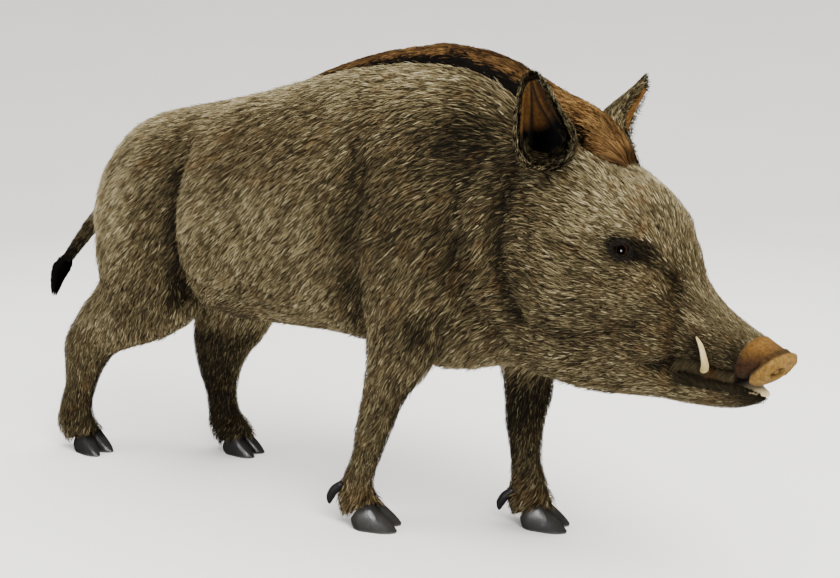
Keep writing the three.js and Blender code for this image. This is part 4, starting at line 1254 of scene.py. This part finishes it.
def makeTail():
    # a backing with hair combed to the tip, and locks that grow from a core at its end
    draw = np.random.default_rng(tail["seed"])
    grid = sweep(tail["path"], tail["radii"], 90, 24, grow=-tail["depth"])
    makeForm("tail_skin", grid, "tail", "dark_pile", "backing", "#120c07", swings=False)
    count = fewer(tail["tufts"])
    share, angle = draw.random(count) * 0.97, draw.random(count) * 2 * np.pi
    inner = 1 - (tail["depth"] + 1) / np.interp(share, np.linspace(0, 1, 5), tail["radii"])
    root, outward, ahead = roundPath(tail["path"], tail["radii"], share, angle, inner)
    across = np.cross(outward, ahead)
    long = tail["length"] * (0.7 + 0.6 * draw.random(count))[:, None]
    rise = tail["rise"] * (0.4 + 1.2 * draw.random(count))[:, None]
    side = draw.normal(0, tail["bend"], count)[:, None]
    lie = ahead * np.cos(side) + across * np.sin(side)
    tufts = hairMesh(root, lie, outward, across, long, lie * np.cos(rise) + outward * np.sin(rise),
                     tail["width"] * (0.7 + 0.6 * draw.random(count)[:, None]), over=0.08)
    dark = ease(share, 0.5, 1.0)
    pick = np.where(draw.random(count) < dark, 3, draw.integers(0, 3, count))
    tint = linear(tail["kinds"])[pick] * (0.8 + 0.4 * draw.random(count))[:, None, None]
    makeTufts("tail_coat", tufts, tint, np.stack([share, angle / 2 / np.pi], 1), "dark_pile")

    makeForm("tail_tuft_backing", sweep(tuft["path"], tuft["core"], 50, 20), "tail_tuft",
             "black_pile", "backing", "#060504", swings=False)
    count = tuft["locks"]
    start = draw.random(count) ** 1.3 * 0.62 - 0.04
    angle = draw.random(count) * 2 * np.pi
    reach = drawn(draw, tuft["length"], count) / tuft["span"]
    reach = np.minimum(reach, (1.03 - start) * (0.8 + 0.2 * draw.random(count)))
    path = []
    for step, out in tuft["out"]:
        turn = angle + draw.normal(0, 0.1, count) * step
        path.append(roundPath(tuft["path"], tuft["radii"], start + reach * step, turn,
                              out * (0.6 + 0.45 * draw.random(count) + 0.25 * step))[0])
    tufts = lockMesh(np.stack(path, 1), angle, tuft["width"], 0.35, draw)
    tint = linear(tuft["dye"])[[0, 0, 1, 2]] * (0.6 + 0.9 * draw.random(count))[:, None, None]
    makeTufts("tail_tuft_hair", tufts, tint, np.stack([start.clip(0), angle / 2 / np.pi], 1),
              "black_pile")


ear = {
    "right": ((297, 62, 548), (309, 118, 650), 48),   # base, tip and degrees it opens outward
    "left": ((293, 56, 548), (309, 116, 650), 28),
    "bow": 7,                # how far its middle bends back
    "halfWidth": ((-0.14, 12), (-0.04, 25), (0.05, 34), (0.18, 42), (0.34, 42), (0.5, 37),
                  (0.7, 28), (0.86, 21), (1, 10)),
    "wrap": ((-0.14, 172), (0.06, 168), (0.18, 132), (0.3, 104), (0.46, 88), (0.65, 74),
             (0.84, 62), (1, 50)),
    "backDepth": ((-0.14, 36), (0, 38), (0.25, 36), (0.5, 28), (0.75, 16), (1, 6)),
    "wall": ((-0.14, 30), (0.03, 30), (0.15, 6), (0.5, 5), (1, 2.5)),
    "leastInner": 0.08,
    "grid": (80, 44),        # levels, and steps round each of them
    "depth": 3,              # how far the fur backing lies inside the coat
    "tufts": 8600,
    "seed": 81,
    "width": 1.2,
    "length": 9,
    "rim": {-1: 12, 1: 9},   # the length of the fringe on the right ear and on the left one
    "foot": 15,              # and of the hair at its foot
    "fringe": {-1: (0.3, 0.24), 1: (0, 0.16)},   # the share of hairs inside its rim and on it
    "rolls": ((0.7, 0.11, 4.6), (0.4, 0.11, 3.4)),   # folds of the lining: place, width, height
    "dye": ("#523717", "#0d0703", "#010101"),        # the lining, the painted shade in its folds, and the painted shade deep at its foot
    "soot": ("#060504", "#0b0906", "#120e09"),
}


def earFrame(side):
    # its base, the line to its tip, the way that it opens, and the way across
    base, tip, openTo = ear["right" if side < 0 else "left"]
    base = np.array(base, float) * (1, side, 1)
    rise = np.array(tip, float) * (1, side, 1) - base
    up = unit(rise)
    outward = math.radians(openTo)
    mouthWay = np.array([math.cos(outward), side * math.sin(outward), 0])
    mouthWay = unit(mouthWay - up * (mouthWay @ up))
    return base, rise, mouthWay, np.cross(mouthWay, up) * side


def earPoint(side, height, share, wall, inside):
    # each level is an arc, angle = wrap * share, of a radius between the outer one (wall 0) and
    # the inner one (wall 1), moved in by a few millimetres
    base, rise, mouthWay, across = earFrame(side)
    wrap = np.radians(softTable(ear["wrap"], height, 0.04))
    half = softTable(ear["halfWidth"], height, 0.03)
    radius = half / np.sin(np.minimum(wrap, np.pi / 2))
    inner = np.maximum(radius - softTable(ear["wall"], height, 0.02), radius * ear["leastInner"])
    centre = base + rise * height[..., None]
    centre[..., 0] -= ear["bow"] * np.sin(np.pi * np.maximum(height, 0))
    centre = centre + mouthWay * (radius - softTable(ear["backDepth"], height, 0.05))[..., None]
    r = (radius + (inner - radius) * wall - inside)[..., None]
    angle = (wrap * share)[..., None]
    return centre - mouthWay * r * np.cos(angle) + across * side * r * np.sin(angle)


def makeEarShell(side, name):
    # each level is a closed ring: the outer wall one way and the inner wall back
    levels, steps = ear["grid"]
    full = np.ones((levels, steps))
    height, arc = np.linspace(-0.14, 0.995, levels)[:, None], np.linspace(-1, 1, steps)[None]
    edge = arc * (0.985 - 0.02 * (height > 0.9))
    outer = earPoint(side, height * full, edge, 0 * full, ear["depth"] * full)
    inner = earPoint(side, height * full, -edge, full, 0 * full + 0.2)
    makeForm(name + "_backing", np.concatenate([outer, inner], 1), name, "dark_pile", "backing",
             "#1c150d", flip=side < 0)


def makeEarLining(side, name):
    # piped folds run up it, with a dent inside each of them
    levels, steps = ear["grid"]
    full = np.ones((levels, steps))
    height, arc = np.linspace(0.1, 0.95, levels)[:, None], np.linspace(-1, 1, steps)[None]
    share = np.abs(arc) * 0.97
    relief, dark = 0, 0.0
    for place, width, tall in ear["rolls"]:
        at = place * (0.6 + 0.4 * ease(height, 0.9, 0.3)) if place < 0.7 else place
        relief = relief + tall * bell(share - at, width)
        relief = relief - tall * 0.5 * bell(share - at + 2 * width, width * 0.8)
        dark = np.maximum(dark, bell(share - at + 1.5 * width, width * 0.75))
    thick = relief * ease(height, 0.12, 0.24) * fade(height, 0.85, 0.95) + 2
    front = earPoint(side, height * full, arc * 0.97 * full, full, -0.1 + thick)
    back = earPoint(side, height * full, -arc * 0.97 * full, full, 0.1 * full)
    lining, _ = makeForm(name + "_lining", np.concatenate([back, front], 1), None, "felt",
                         "velour", flip=side < 0)
    brown, deep, black = linear(ear["dye"])
    # the left ear's lining is lighter along its edge, where it is seen in full light: painted light
    tint = full[..., None] * brown * (1.45 if side > 0 else 1)
    # painted shade in the dent beside each fold
    tint = mixed(tint, deep, (dark * full)[..., None] * 0.85)
    # the right ear's lining darker towards one edge, in the shade of its rim: painted shade
    roll = (0.7 * (side < 0) * ease(-arc, 0.3, 0.5) * full)[..., None]
    tint = mixed(tint, deep * 1.6, roll)
    # black low in the cup: painted shade
    tint = mixed(tint, black, fade(height + 0.06 * np.cos(arc * 5), 0.3, 0.46)[..., None])
    both = np.concatenate([tint[:, ::-1], tint], 1).reshape(-1, 3)
    paint(lining, np.vstack([both, black, deep]))


def makeEarCoat(side, name):
    # short pile over the back, combed to the tip, with pale fringes along both edges, and at the
    # foot of the ear hair that closes the gap between them
    draw = np.random.default_rng(ear["seed"] + side)
    count = fewer(ear["tufts"])
    kind = draw.random(count)
    inside, onEdge = ear["fringe"][side]
    rim, edge, foot = kind < inside, (kind > inside) & (kind < inside + onEdge), kind > 0.9
    within = rim | foot
    h = np.where(foot, -0.06 + 0.3 * draw.random(count), -0.1 + 1.1 * draw.random(count) ** 0.9)
    s = draw.uniform(-1, 1, count)
    inset = np.where(rim, 0.84 + 0.145 * draw.random(count), 0.4 + 0.55 * draw.random(count))
    s = np.where(within, np.sign(s) * inset, np.where(edge, np.sign(s) * 0.98, s * 0.98))
    wall = np.where(within, 1, np.where(edge, draw.random(count), 0))
    under = np.where(within, 1.2, np.where(edge, 0, ear["depth"]))
    root = earPoint(side, h, s, wall, under)
    ahead = unit(earPoint(side, h + 0.02, s, wall, under) - root)
    around = unit(earPoint(side, h, s + 0.02, wall, under) - root)
    outward = unit(np.cross(around, ahead))
    into = earPoint(side, h, s, wall, under + 5) - root
    outward = outward * (np.sign((outward * into).sum(1)) * np.where(within, 1, -1))[:, None]
    outward = np.where(edge[:, None], unit(around * np.sign(s)[:, None] - outward * 0.3), outward)
    rim = rim | edge
    tipward = ease(h, 0.84, 0.96)
    lean = np.where(rim & ~edge, np.sign(s) * 0.9, 0)
    lean += draw.normal(0, 0.2, count) * (1 + 3 * np.maximum(tipward, 0.7 * edge))
    lie = unit(ahead * np.cos(lean)[:, None] + around * np.sin(lean)[:, None])
    long = np.where(foot, ear["foot"], np.where(rim, ear["rim"][side] - 3 * tipward, ear["length"]))
    long = (long * (0.7 + 0.6 * draw.random(count)))[:, None]
    rise = np.where(foot, 1.0, np.where(rim, 0.6 + 0.35 * edge, 0.42 + 0.5 * tipward))
    rise = (rise * (0.5 + draw.random(count)))[:, None]
    way = lie * np.cos(rise) + outward * np.sin(rise)
    tufts = hairMesh(root, lie, outward, unit(np.cross(outward, lie)), long, way,
                     ear["width"] * (0.7 + 0.6 * draw.random(count)[:, None]), over=0.12, sunk=1)
    tint = dyedAndPaintedLight(root, lie, draw, -0.1)
    value = np.where(rim, 0.08 + 0.8 * ease(np.abs(s), 0.88, 0.985), 0.45)
    value = value + draw.normal(0, 0.4, count) + 0.1 * edge
    fuzz = pileColour(value.clip(0.05, 2)[:, None] * (0.3, 0.85, 1.35), np.full((count, 3), 0.05))
    tint = np.where((within | edge)[:, None, None], fuzz, tint)
    dark = draw.random(count) < 0.16 + 0.3 * tipward + 0.2 * foot + 0.2 * rim * (side < 0)
    tint = np.where(dark[:, None, None], linear(ear["soot"]), tint)
    tint = tint * (0.75 + 0.5 * draw.random(count))[:, None, None]
    roots = np.stack([s / 2 + 0.5, h / 1.2 + 0.14], 1).clip(0, 1)
    makeTufts(name + "_coat", tufts, tint, roots, "dark_pile")


eye = {"at": (411, 66, 452), "radius": 9.7, "gaze": (0.28, 0.93, 0.16), "ring": (39, 45),
       "dye": ("#030202", "#21140a")}
lids = {
    "inner": (8.2, 7.6), "outer": (11.8, 8.8), "height": 1.6, "roll": -14, "ahead": 3.4,
    "grid": (90, 28),       # steps round the eye, and round the section of the ring
    "lashes": 1800,
    "seed": 91,
    "from": (6, 14),        # the steps of the section that they grow on
    "length": (4, 9),
    "dye": ("#030202", "#0b0907", "#221d17"),
}


def eyeFrame(side):
    # its centre, the way it looks, and the ways ahead and up across that
    gaze = unit(np.array(eye["gaze"], float) * (1, side, 1))
    ahead = unit(np.array([1.0, 0, 0]) - gaze * gaze[0])
    up = np.cross(ahead, gaze) * -side
    up = up * np.sign(up[2])
    return np.array(eye["at"], float) * (1, side, 1), gaze, ahead, up


def makeEye(side, name):
    # a ball: centre + radius * (gaze * cos(down) + out * sin(down)), the iris a thin ring
    centre, gaze, ahead, up = eyeFrame(side)
    down, about = np.meshgrid(np.linspace(0.02, np.pi - 0.02, 60), circle(64), indexing="ij")
    out = ahead * np.cos(about)[..., None] + up * np.sin(about)[..., None] * -side
    grid = centre + eye["radius"] * (gaze * np.cos(down)[..., None] + out * np.sin(down)[..., None])
    ball, _ = makeForm(name + "_glass", grid, name, "eye_glass", "eye", flip=True)
    degrees = np.degrees(down).ravel()
    inner, outer = eye["ring"]
    iris = ease(degrees, inner - 6, inner) * fade(degrees, outer - 2, outer + 2)
    tint = mixed(*linear(eye["dye"]), iris[:, None])
    paint(ball, np.vstack([tint, tint[0], tint[-1]]))

    # a padded ring of black pile cloth round the opening: its section is a flat oval
    about, s = np.meshgrid(*map(circle, lids["grid"]), indexing="ij")
    part = 0.5 - 0.5 * np.cos(s)
    (a, b), (wideA, wideB) = lids["inner"], lids["outer"]
    x = (a + (wideA - a) * part) * np.cos(about)
    z = (b + (wideB - b) * part) * np.sin(about)
    x, z = rotated(x, z, math.radians(lids["roll"]))
    x = x + lids["ahead"] * part
    over = np.sqrt(np.maximum(eye["radius"] ** 2 - (x ** 2 + z ** 2) * 0.9, 4))
    out = mixed(over, 3.2 - 0.012 * x ** 2, part)
    out = out + lids["height"] * np.sin(s) * (1 - 0.6 * part)
    grid = centre + ahead * x[..., None] + up * z[..., None] + gaze * out[..., None]
    quads = wrapped(*lids["grid"])
    if side < 0:
        quads = quads[:, ::-1]
    ring = makePiece(name + "_lids", toFrame(turned(grid.reshape(-1, 3))), quads,
                     slot="black_pile", nodes=[name + "lids"], material=finish["backing"])
    paint(ring, linear("#040302"))

    # short lashes of black pile on the ring
    draw = np.random.default_rng(lids["seed"] + side)
    count = lids["lashes"]
    pick = draw.integers(0, lids["grid"][0], count), draw.integers(*lids["from"], count)
    root = grid[pick]
    turn = draw.normal(0, 0.4, count)[:, None]
    lie = unit(-ahead * np.cos(turn) + up * (np.sin(turn) + 0.15))
    outward = unit(gaze + 0.35 * unit(root - centre))
    lie = flatOn(outward, lie)
    long = drawn(draw, lids["length"], count)[:, None]
    tufts = hairMesh(root, lie, outward, np.cross(outward, lie), long, lie * 0.9 + outward * 0.4,
                     0.8 + 0.5 * draw.random(count)[:, None], sunk=0.6)
    tint = linear(lids["dye"]) * (0.5 + draw.random(count))[:, None, None]
    roots = np.stack(pick, 1) / lids["grid"]
    makeTufts(name + "_lashes", tufts, tint, roots, "black_pile")


def wrapped(rows, columns):
    # the quads of a grid that closes on itself both ways
    i, k = np.meshgrid(np.arange(rows), np.arange(columns), indexing="ij")
    j, m = (i + 1) % rows, (k + 1) % columns
    return np.stack([i * columns + k, i * columns + m, j * columns + m, j * columns + k],
                    -1).reshape(-1, 4)


snout = {
    "furEdge": (541, 340, 21),
    "seam": (566.7, 331.9), "radius": 24, "half": 30, "slope": 45,
    "cone": (21.1, 21.24, 2.6),          # the stations where it starts and is full, and its hem
    "pinch": (0.08, 2.6),                # how far the seam draws the cone in, and over what width
    "bulge": ((-6, 0.9), (0, 0.955), (1.5, 1.0), (5, 1.07), (9.8, 0.97), (13.2, 0.78)),
    "face": 16.6,
    "nostril": (9.5, 15.5, 9.5, 8),      # up, to the side, and its half width and height
    "nostrilTilt": 0.3,
    "groove": (4, 0.7, 0.22),            # its depth, how far out it runs and its width, of the
    "rim": (1.3, 1.12, 0.18),            # nostril's own size, and the same of the raised rim
    "dye": ("#2c1b0d", "#65481f", "#6c5227"),    # the side and the top of the cone, darker and lighter partly as painted shade and painted light, and the pad
    # the dark stitch of the seam, with painted shade in its groove
    "seamStitchAndShadeDye": "#22140a",
}


def makeSnout():
    # the cone is the front of the trunk's loft, drawn in at the seam
    last = len(trunk) - 1
    start, whole, hem = snout["cone"]
    hem = -hem * fade(np.linspace(start / last, 1, 120), start / last, whole / last)
    grid = loft(trunk, 120, 110, start=start / last, grow=hem)
    slope = math.radians(snout["slope"])
    out = np.array([math.sin(slope), 0, -math.cos(slope)])
    seam = np.array([snout["seam"][0], 0, snout["seam"][1]])
    deep, wide = snout["pinch"]
    away = (grid - seam) @ out
    middle = grid.mean(1, keepdims=True)
    grid = middle + (grid - middle) * (1 - deep * bell(away + 0.5, wide))[..., None]
    cone, points = makeForm("snout_velour", grid[away.mean(1) < 1.5], "snout", "velour", "velour")
    low, high, face = linear(snout["dye"])
    # the cone lighter over the top and darker down its side: partly the velour's own tone, partly
    # painted light and painted shade
    top = ease(points[:, 2] - np.interp(points[:, 0], (530, 590), (314, 326)), 15, 45)
    # darker at the seam: a dark stitch, and painted shade in its groove
    seamStitchAndShade = bell((points - seam) @ out + 0.5, wide)
    tint = mixed(low, high, top[:, None]) * (1 - 0.78 * seamStitchAndShade[:, None])
    # darker where the fur's edge hangs over the cone: painted shade
    furEdgeShade = ease(-points[:, 0] + 0.4 * (points[:, 2] - 340), -556, -538)
    paint(cone, tint * (1 - 0.5 * furEdgeShade[:, None]))

    # the pad: rings from behind the seam over the rounded edge to the middle of the face
    rise = np.array([math.cos(slope), 0, math.sin(slope)])
    ahead, share = np.array(snout["bulge"], float).T
    edge = curve(np.column_stack([ahead, share]), np.linspace(0, 1, 34))
    inward = np.linspace(edge[-1, 1], 0.02, 46)[1:]
    crown = edge[-1, 0] + (snout["face"] - edge[-1, 0]) * (1 - (inward / edge[-1, 1]) ** 2)
    profile = np.vstack([edge, np.column_stack([crown, inward])])
    angle = circle(150)
    y = snout["half"] * profile[:, 1:] * powered(np.cos(angle), 0.72)
    z = snout["radius"] * profile[:, 1:] * powered(np.sin(angle), 0.72)
    deep = np.repeat(profile[:, :1], len(angle), 1)
    up, beside, wide, tall = snout["nostril"]
    (groove, grooveAt, grooveWide), (rim, rimAt, rimWide) = snout["groove"], snout["rim"]
    onFace = ease(deep, 8, 12)
    hole = np.zeros_like(y)
    for side in (-1, 1):
        u, v = rotated(y - side * beside, z - up, side * snout["nostrilTilt"])
        q = np.hypot(u / wide, v / tall)
        # a groove runs round each nostril, inside a raised rim, and its middle stands up again
        hole = np.maximum(hole, bell(q - 0.72, 0.2) + 0.3 * (q < 0.72))
        low = groove * bell(q - grooveAt, grooveWide) + 1.2 * fade(q, 0.3, 0.7)
        deep = deep - onFace * low
        deep = deep + onFace * rim * bell(q - rimAt, rimWide)
    grid = seam + deep[..., None] * out + z[..., None] * rise
    grid[..., 1] += y
    pad, _ = makeForm("snout_pad", grid, "snout_disc", "velour", "velour")
    # the pad darker where it turns in at the seam: a dark stitch, and painted shade in the groove
    tint = mixed(face, linear(snout["seamStitchAndShadeDye"]), fade(deep, -1, 3.6)[..., None] * 0.85)
    tint = tint * (1 - 0.72 * np.minimum(hole, 1)[..., None])
    # the pad darker towards its lower edge, which faces away from the light above: painted shade
    tint = (tint * (1 - 0.3 * fade(z, -26, -8)[..., None])).reshape(-1, 3)
    paint(pad, np.vstack([tint, tint[:1], tint[-1:]]))
    print("snout made")


# The soft lining of the lower lip.
lining = {
    "ends": ((508, 308.6), (566, 296)), "thick": 2.4,
    "half": ((508, 26), (520, 26), (532, 24), (545, 20), (555, 14), (562, 8), (565, 3)),
    "dome": 4.6,
    # the colour of its rear, inside the mouth: painted shade
    "shadedInMouth": "#6e5a3c",
}


def makeLining():
    # a soft pad on the bed, rounded at its edge and swelling along its middle
    ends = lining["ends"]
    x = np.linspace(ends[0][0], ends[1][0], 70)[:, None]
    angle = circle(48)[None]
    half = softTable(lining["half"], x, 4)
    y = half * powered(np.cos(angle), 0.6)
    rise = powered(np.sin(angle), 0.6)
    dome = lining["dome"] * (1 - (y / half) ** 2) * ease(x, 528, 546) * (rise > 0)
    z = onLine(ends, x) + lining["thick"] / 2 * (1 + rise) + dome - 0.4
    piece, points = makeForm("lip_felt", np.stack([x + 0 * y, y, z], -1), "lip_lining", "felt",
                             "felt")
    # darker towards its rear, inside the mouth under the upper lip: painted shade
    shadedInMouth = linear(lining["shadedInMouth"])
    paint(piece, shadedInMouth + (1 - shadedInMouth) * ease(points[:, :1], 530, 548))


# Hair that hangs from the upper lip and stands on the lower one: which form it grows from, where
# along it (stations), the section angles, its way, its length at both ends and how pale it is.
fringes = {
    "upper_lip_fur": (trunk, (18.6, 21.3), (-66, -26), (-0.5, 0.25, -1), (12, 9), 0.5, 3600),
    "lower_lip_fur": (jaw, (1.9, 4.95), (4, 40), (-0.9, 0.2, 1), (11, 5), 0.2, 4000),
}
fringeHair = {"seed": 101, "under": 1.2, "width": 0.75, "stray": 0.12, "draw": 0.16}


def makeFringes():
    # hairs rooted on the form's own loft, the left side the mirror of the right
    for name, (form, reach, angles, way, lengths, pale, count) in fringes.items():
        draw = np.random.default_rng(fringeHair["seed"])
        count = fewer(count)
        last = len(form) - 1
        grid = loft(form, 400, 360, start=reach[0] / last, end=reach[1] / last,
                    grow=-fringeHair["under"])
        share = draw.random(count)
        angle = drawn(draw, angles, count)
        left = np.arange(count) % 2 == 0
        turn = np.where(left, angle, 180 - angle).astype(int) % 360
        at = (share * (len(grid) - 1)).astype(int)
        root = grid[at, turn]
        outward = unit(root - grid[at].mean(1))
        lie = np.array(way, float) + draw.normal(0, fringeHair["stray"], (count, 3))
        lie[:, 1] *= np.where(left, 1, -1)
        lie = unit(lie)
        across = unit(np.cross(outward, lie))
        long = np.interp(share, (0, 1), lengths) * (0.7 + 0.6 * draw.random(count))
        tufts = hairMesh(root, lie, outward, across, long[:, None], lie + outward * 0.3,
                         fringeHair["width"] * (0.7 + 0.6 * draw.random(count)[:, None]),
                         first=0.5, over=0.05)
        value = (pale + draw.normal(0, fringeHair["draw"], count)).clip(0.02, 2)
        rust = 0.7 * bell(root[:, 0] - 517, 6) * (form is trunk)
        tint = pileColour(value[:, None] * pile["along"], np.repeat(rust[:, None], 3, 1))
        makeTufts(name, tufts, tint, np.stack([share, turn / 360], 1), "dark_pile")


tusk = {
    "path": ((510, 43, 324), (513, 47, 330), (512, 49, 340), (507, 48, 352), (499.5, 46, 361)),
    "radii": (5.3, 4.9, 3.9, 3, 1.1), "flat": 0.8, "tipFrom": 0.93,
}
hoof = {
    # side, how far out it stands, how far forward, and how many degrees it points to the left
    "legs": {
        "right_fore": (-1, 70, 0, 22), "left_fore": (1, 70, 203, 18),
        "right_hind": (-1, 72, -629, 0), "left_hind": (1, 72, -400, 6),
    },
    "offset": 12.6, "splay": 4, "cleft": 0.6,
    "ripple": (0.22, 2.6),     # growth rings: how high and how far apart
    # one grey plastic, the hind hooves darker: painted shade
    "grey": {"fore": "#2a2826", "hind": "#211f1f"},
    "worn": "#6a6762",
}
dewclaw = {
    "root": (-50, 74), "tip": (-74, 37), "radii": (4.5, 7, 6.4, 2.2), "apart": 17, "bow": 6,
    "tipFrom": 0.86,
    "feet": {"right_fore": (2, 0), "left_fore": (8, -9)},
}


def makeTusk(side, name):
    # a sweep along a bowed line, rounded off at its tip
    path = [(x, side * y, z) for x, y, z in tusk["path"]]
    grid = sweep(path, tusk["radii"], 60, 28, flat=tusk["flat"], tipFrom=tusk["tipFrom"])
    makeForm(name + "_resin", grid, name, "tusk_resin", "tusk")


def makeToe(leg, inside, name):
    # a loft from heel to tip, cut flat by the floor and by the cleft
    side, centre, ahead, toeTurn = hoof["legs"][leg]
    grid = loft(toe, 66, 48)
    height, apart = hoof["ripple"]
    middle = grid.mean(1, keepdims=True)
    ring = np.sin((grid[..., 2] + 0.5 * grid[..., 0]) * 2 * np.pi / apart) * height
    grid = grid + unit(grid - middle) * (ring * ease(grid[..., 2], 1, 4))[..., None]
    grid = swung(grid, inside * side * -hoof["splay"])
    grid[..., 1] -= side * inside * hoof["offset"]
    facing = -inside * side
    cleft = facing * hoof["cleft"]
    grid[..., 1] = np.where(facing * (grid[..., 1] - cleft) < 0, cleft, grid[..., 1])
    grid = swung(grid, toeTurn) + (ahead, side * centre, body["floor"])
    grid[..., 2] = np.maximum(grid[..., 2], body["floor"] + 0.05)
    piece, points = makeForm(name + "_shell", grid, name, "hoof_plastic", "hoof", swings=False)
    up = points[:, 2:] - body["floor"]
    grey = linear(hoof["grey"]["fore" if "fore" in leg else "hind"])
    tint = mixed(grey, linear(hoof["worn"]), fade(up, 0.5, 3.5) * 0.6)
    # darker by half towards the top of the shell, under the hair of the foot: painted shade
    paint(piece, tint * (1 - ease(up, 22, 34) * 0.5))


def swung(p, degrees):
    # turned about the upright line through the origin
    return np.stack([*rotated(p[..., 0], p[..., 1], math.radians(degrees)), p[..., 2]], -1)


def makeDewclaw(leg, inside, name):
    # a sweep from root to tip, x bowed back by bow * sin(pi * share)
    side, centre, foreAft, _ = hoof["legs"][leg]
    ahead, up = dewclaw["feet"][leg]
    (rootX, rootZ), (tipX, tipZ) = dewclaw["root"], dewclaw["tip"]
    share = np.array([0, 1 / 3, 2 / 3, 1])
    x = foreAft + rootX + (tipX - rootX) * share + ahead
    x = x - dewclaw["bow"] * np.sin(math.pi * share)
    y = side * (centre - inside * dewclaw["apart"])
    path = np.column_stack([x, 0 * x + y, rootZ + (tipZ - rootZ) * share + up])
    grid = sweep(path, dewclaw["radii"], 50, 28, tipFrom=dewclaw["tipFrom"])
    makeForm(name + "_shell", grid, name, "hoof_plastic", "hoof", "#1d1b1b", swings=False)


# The camera: metres, degrees and the focal length in millimetres.
view = {"place": (0.9974, -1.2459, 0.5985), "azimuth": 34.30, "pitch": 9.48, "lens": 45.43}


def makeCamera():
    # forward = (-sin(a) cos(p), cos(a) cos(p), -sin(p)) for azimuth a and pitch p
    a, p = math.radians(view["azimuth"]), math.radians(view["pitch"])
    right = Vector((math.cos(a), math.sin(a), 0))
    forward = Vector((-math.sin(a) * math.cos(p), math.cos(a) * math.cos(p), -math.sin(p)))
    up = right.cross(forward)
    camera = bpy.data.cameras.new("camera")
    camera.lens, camera.sensor_width = view["lens"], 36
    camera.sensor_fit = "HORIZONTAL"
    camera.clip_start, camera.clip_end = 0.05, 60
    holder = bpy.data.objects.new("camera", camera)
    matrix = Matrix((right, up, -forward)).transposed().to_4x4()
    matrix.translation = view["place"]
    holder.matrix_world = matrix
    bpy.context.scene.camera = linked(holder)


# Softboxes: place, the place they aim at, size and power in watts. The catch only puts a small
# light in the eye and on the hooves; the others light the coat, and nothing mirrors them.
lights = {
    "key": ((2.6, -1.5, 3.0), (0.1, 0, 0.35), (2.2, 2.2), 260),
    "top": ((0.2, 0.8, 5.5), (0.2, 0.8, 0), (7, 7), 620),
    "left": ((-2.4, -1.6, 1.8), (-0.3, 0, 0.4), (1.6, 1.6), 45),
    "catch": ((0.34, -1.7, 0.45), (0.51, -0.11, 0.44), (0.6, 0.6), 44),
}
backdrop = {"floor": 4.0, "reach": 14.0, "rise": 0.10, "colour": "#f1efec",
            "world": "#ecebe9", "strength": 1.0}


def makeStudio():
    # the softboxes, the floor and an even white world
    for name, (at, aim, size, power) in lights.items():
        lamp = bpy.data.lights.new(name, "AREA")
        lamp.shape = "RECTANGLE"
        lamp.size, lamp.size_y = size
        lamp.energy = power
        holder = linked(bpy.data.objects.new(name, lamp))
        holder.location = at
        holder.rotation_euler = (Vector(aim) - Vector(at)).to_track_quat("-Z", "Y").to_euler()
        holder.visible_glossy = name == "catch"
        holder.visible_diffuse = name != "catch"
    # a round floor that rises far out like a bowl: z = rise * (r - floor)^2
    r = np.concatenate([[0.02], np.linspace(0.4, backdrop["reach"], 60)])[:, None]
    angle = circle(96)
    z = backdrop["rise"] * np.maximum(r - backdrop["floor"], 0) ** 2 + 0 * angle
    points, quads, _ = closed(np.stack([r * np.cos(angle), r * np.sin(angle), z], -1))
    first = np.arange(len(angle))
    cap = np.stack([(first + 1) % len(angle), first, 0 * first + len(points) - 2], -1)
    material, tree, shader = newMaterial("matteFloor", Roughness=0.9, IOR=1.45)
    shade = ramp(tree, objectNoise(tree, 400, 2), (0.3, backdrop["colour"]), (0.7, "#f4f2ef"))
    tree.links.new(shade.outputs[0], shader.inputs["Base Color"])
    floor = makeObject("floor", points[:-1], quads[:, ::-1], cap[:, ::-1], material=material)
    floor.visible_glossy = False
    world = bpy.data.worlds.new("studio")
    bpy.context.scene.world = world
    world.use_nodes = True
    sky = world.node_tree.nodes["Background"]
    sky.inputs["Color"].default_value = colour(backdrop["world"])
    sky.inputs["Strength"].default_value = backdrop["strength"]
    world.cycles_visibility.glossy = False


makeCamera()
makeStudio()
points, quads = makeSkin()
skin = makePiece("skin", points, quads, slot="coat_pile", material=finish["backing"], nodes=[
    "hindquarters", "barrel", "shoulders", "neck", "head", "lower_jaw",
    *(leg + part for leg in hoof["legs"] for part in ("_leg_upper", "_leg_lower", "_foot"))])
straight = turned(fromFrame(points), back=True)
# the skin shows between the tufts, half as pale as the coat, with the same markings and the same
# painted light and shade
pale, rust = markingsAndPaintedLight(straight)
paint(skin, pileColour(pale * 0.5, rust))
print("skin", len(quads), "faces")
makeCoat(points, quads)
makeCrest()
makeTail()
for side, name in ((-1, "right"), (1, "left")):
    makeEarShell(side, name + "_ear")
    makeEarLining(side, name + "_ear")
    makeEarCoat(side, name + "_ear")
    makeEye(side, name + "_eye")
    makeTusk(side, name + "_tusk")
print("ears, eyes and tusks made")
makeSnout()
makeLining()
makeFringes()
for leg in hoof["legs"]:
    for inside, place in ((-1, "outer"), (1, "inner")):
        makeToe(leg, inside, f"{leg}_hoof_{place}")
        if leg in dewclaw["feet"]:
            makeDewclaw(leg, inside, f"{leg}_dewclaw_{place}")
print("hooves made")
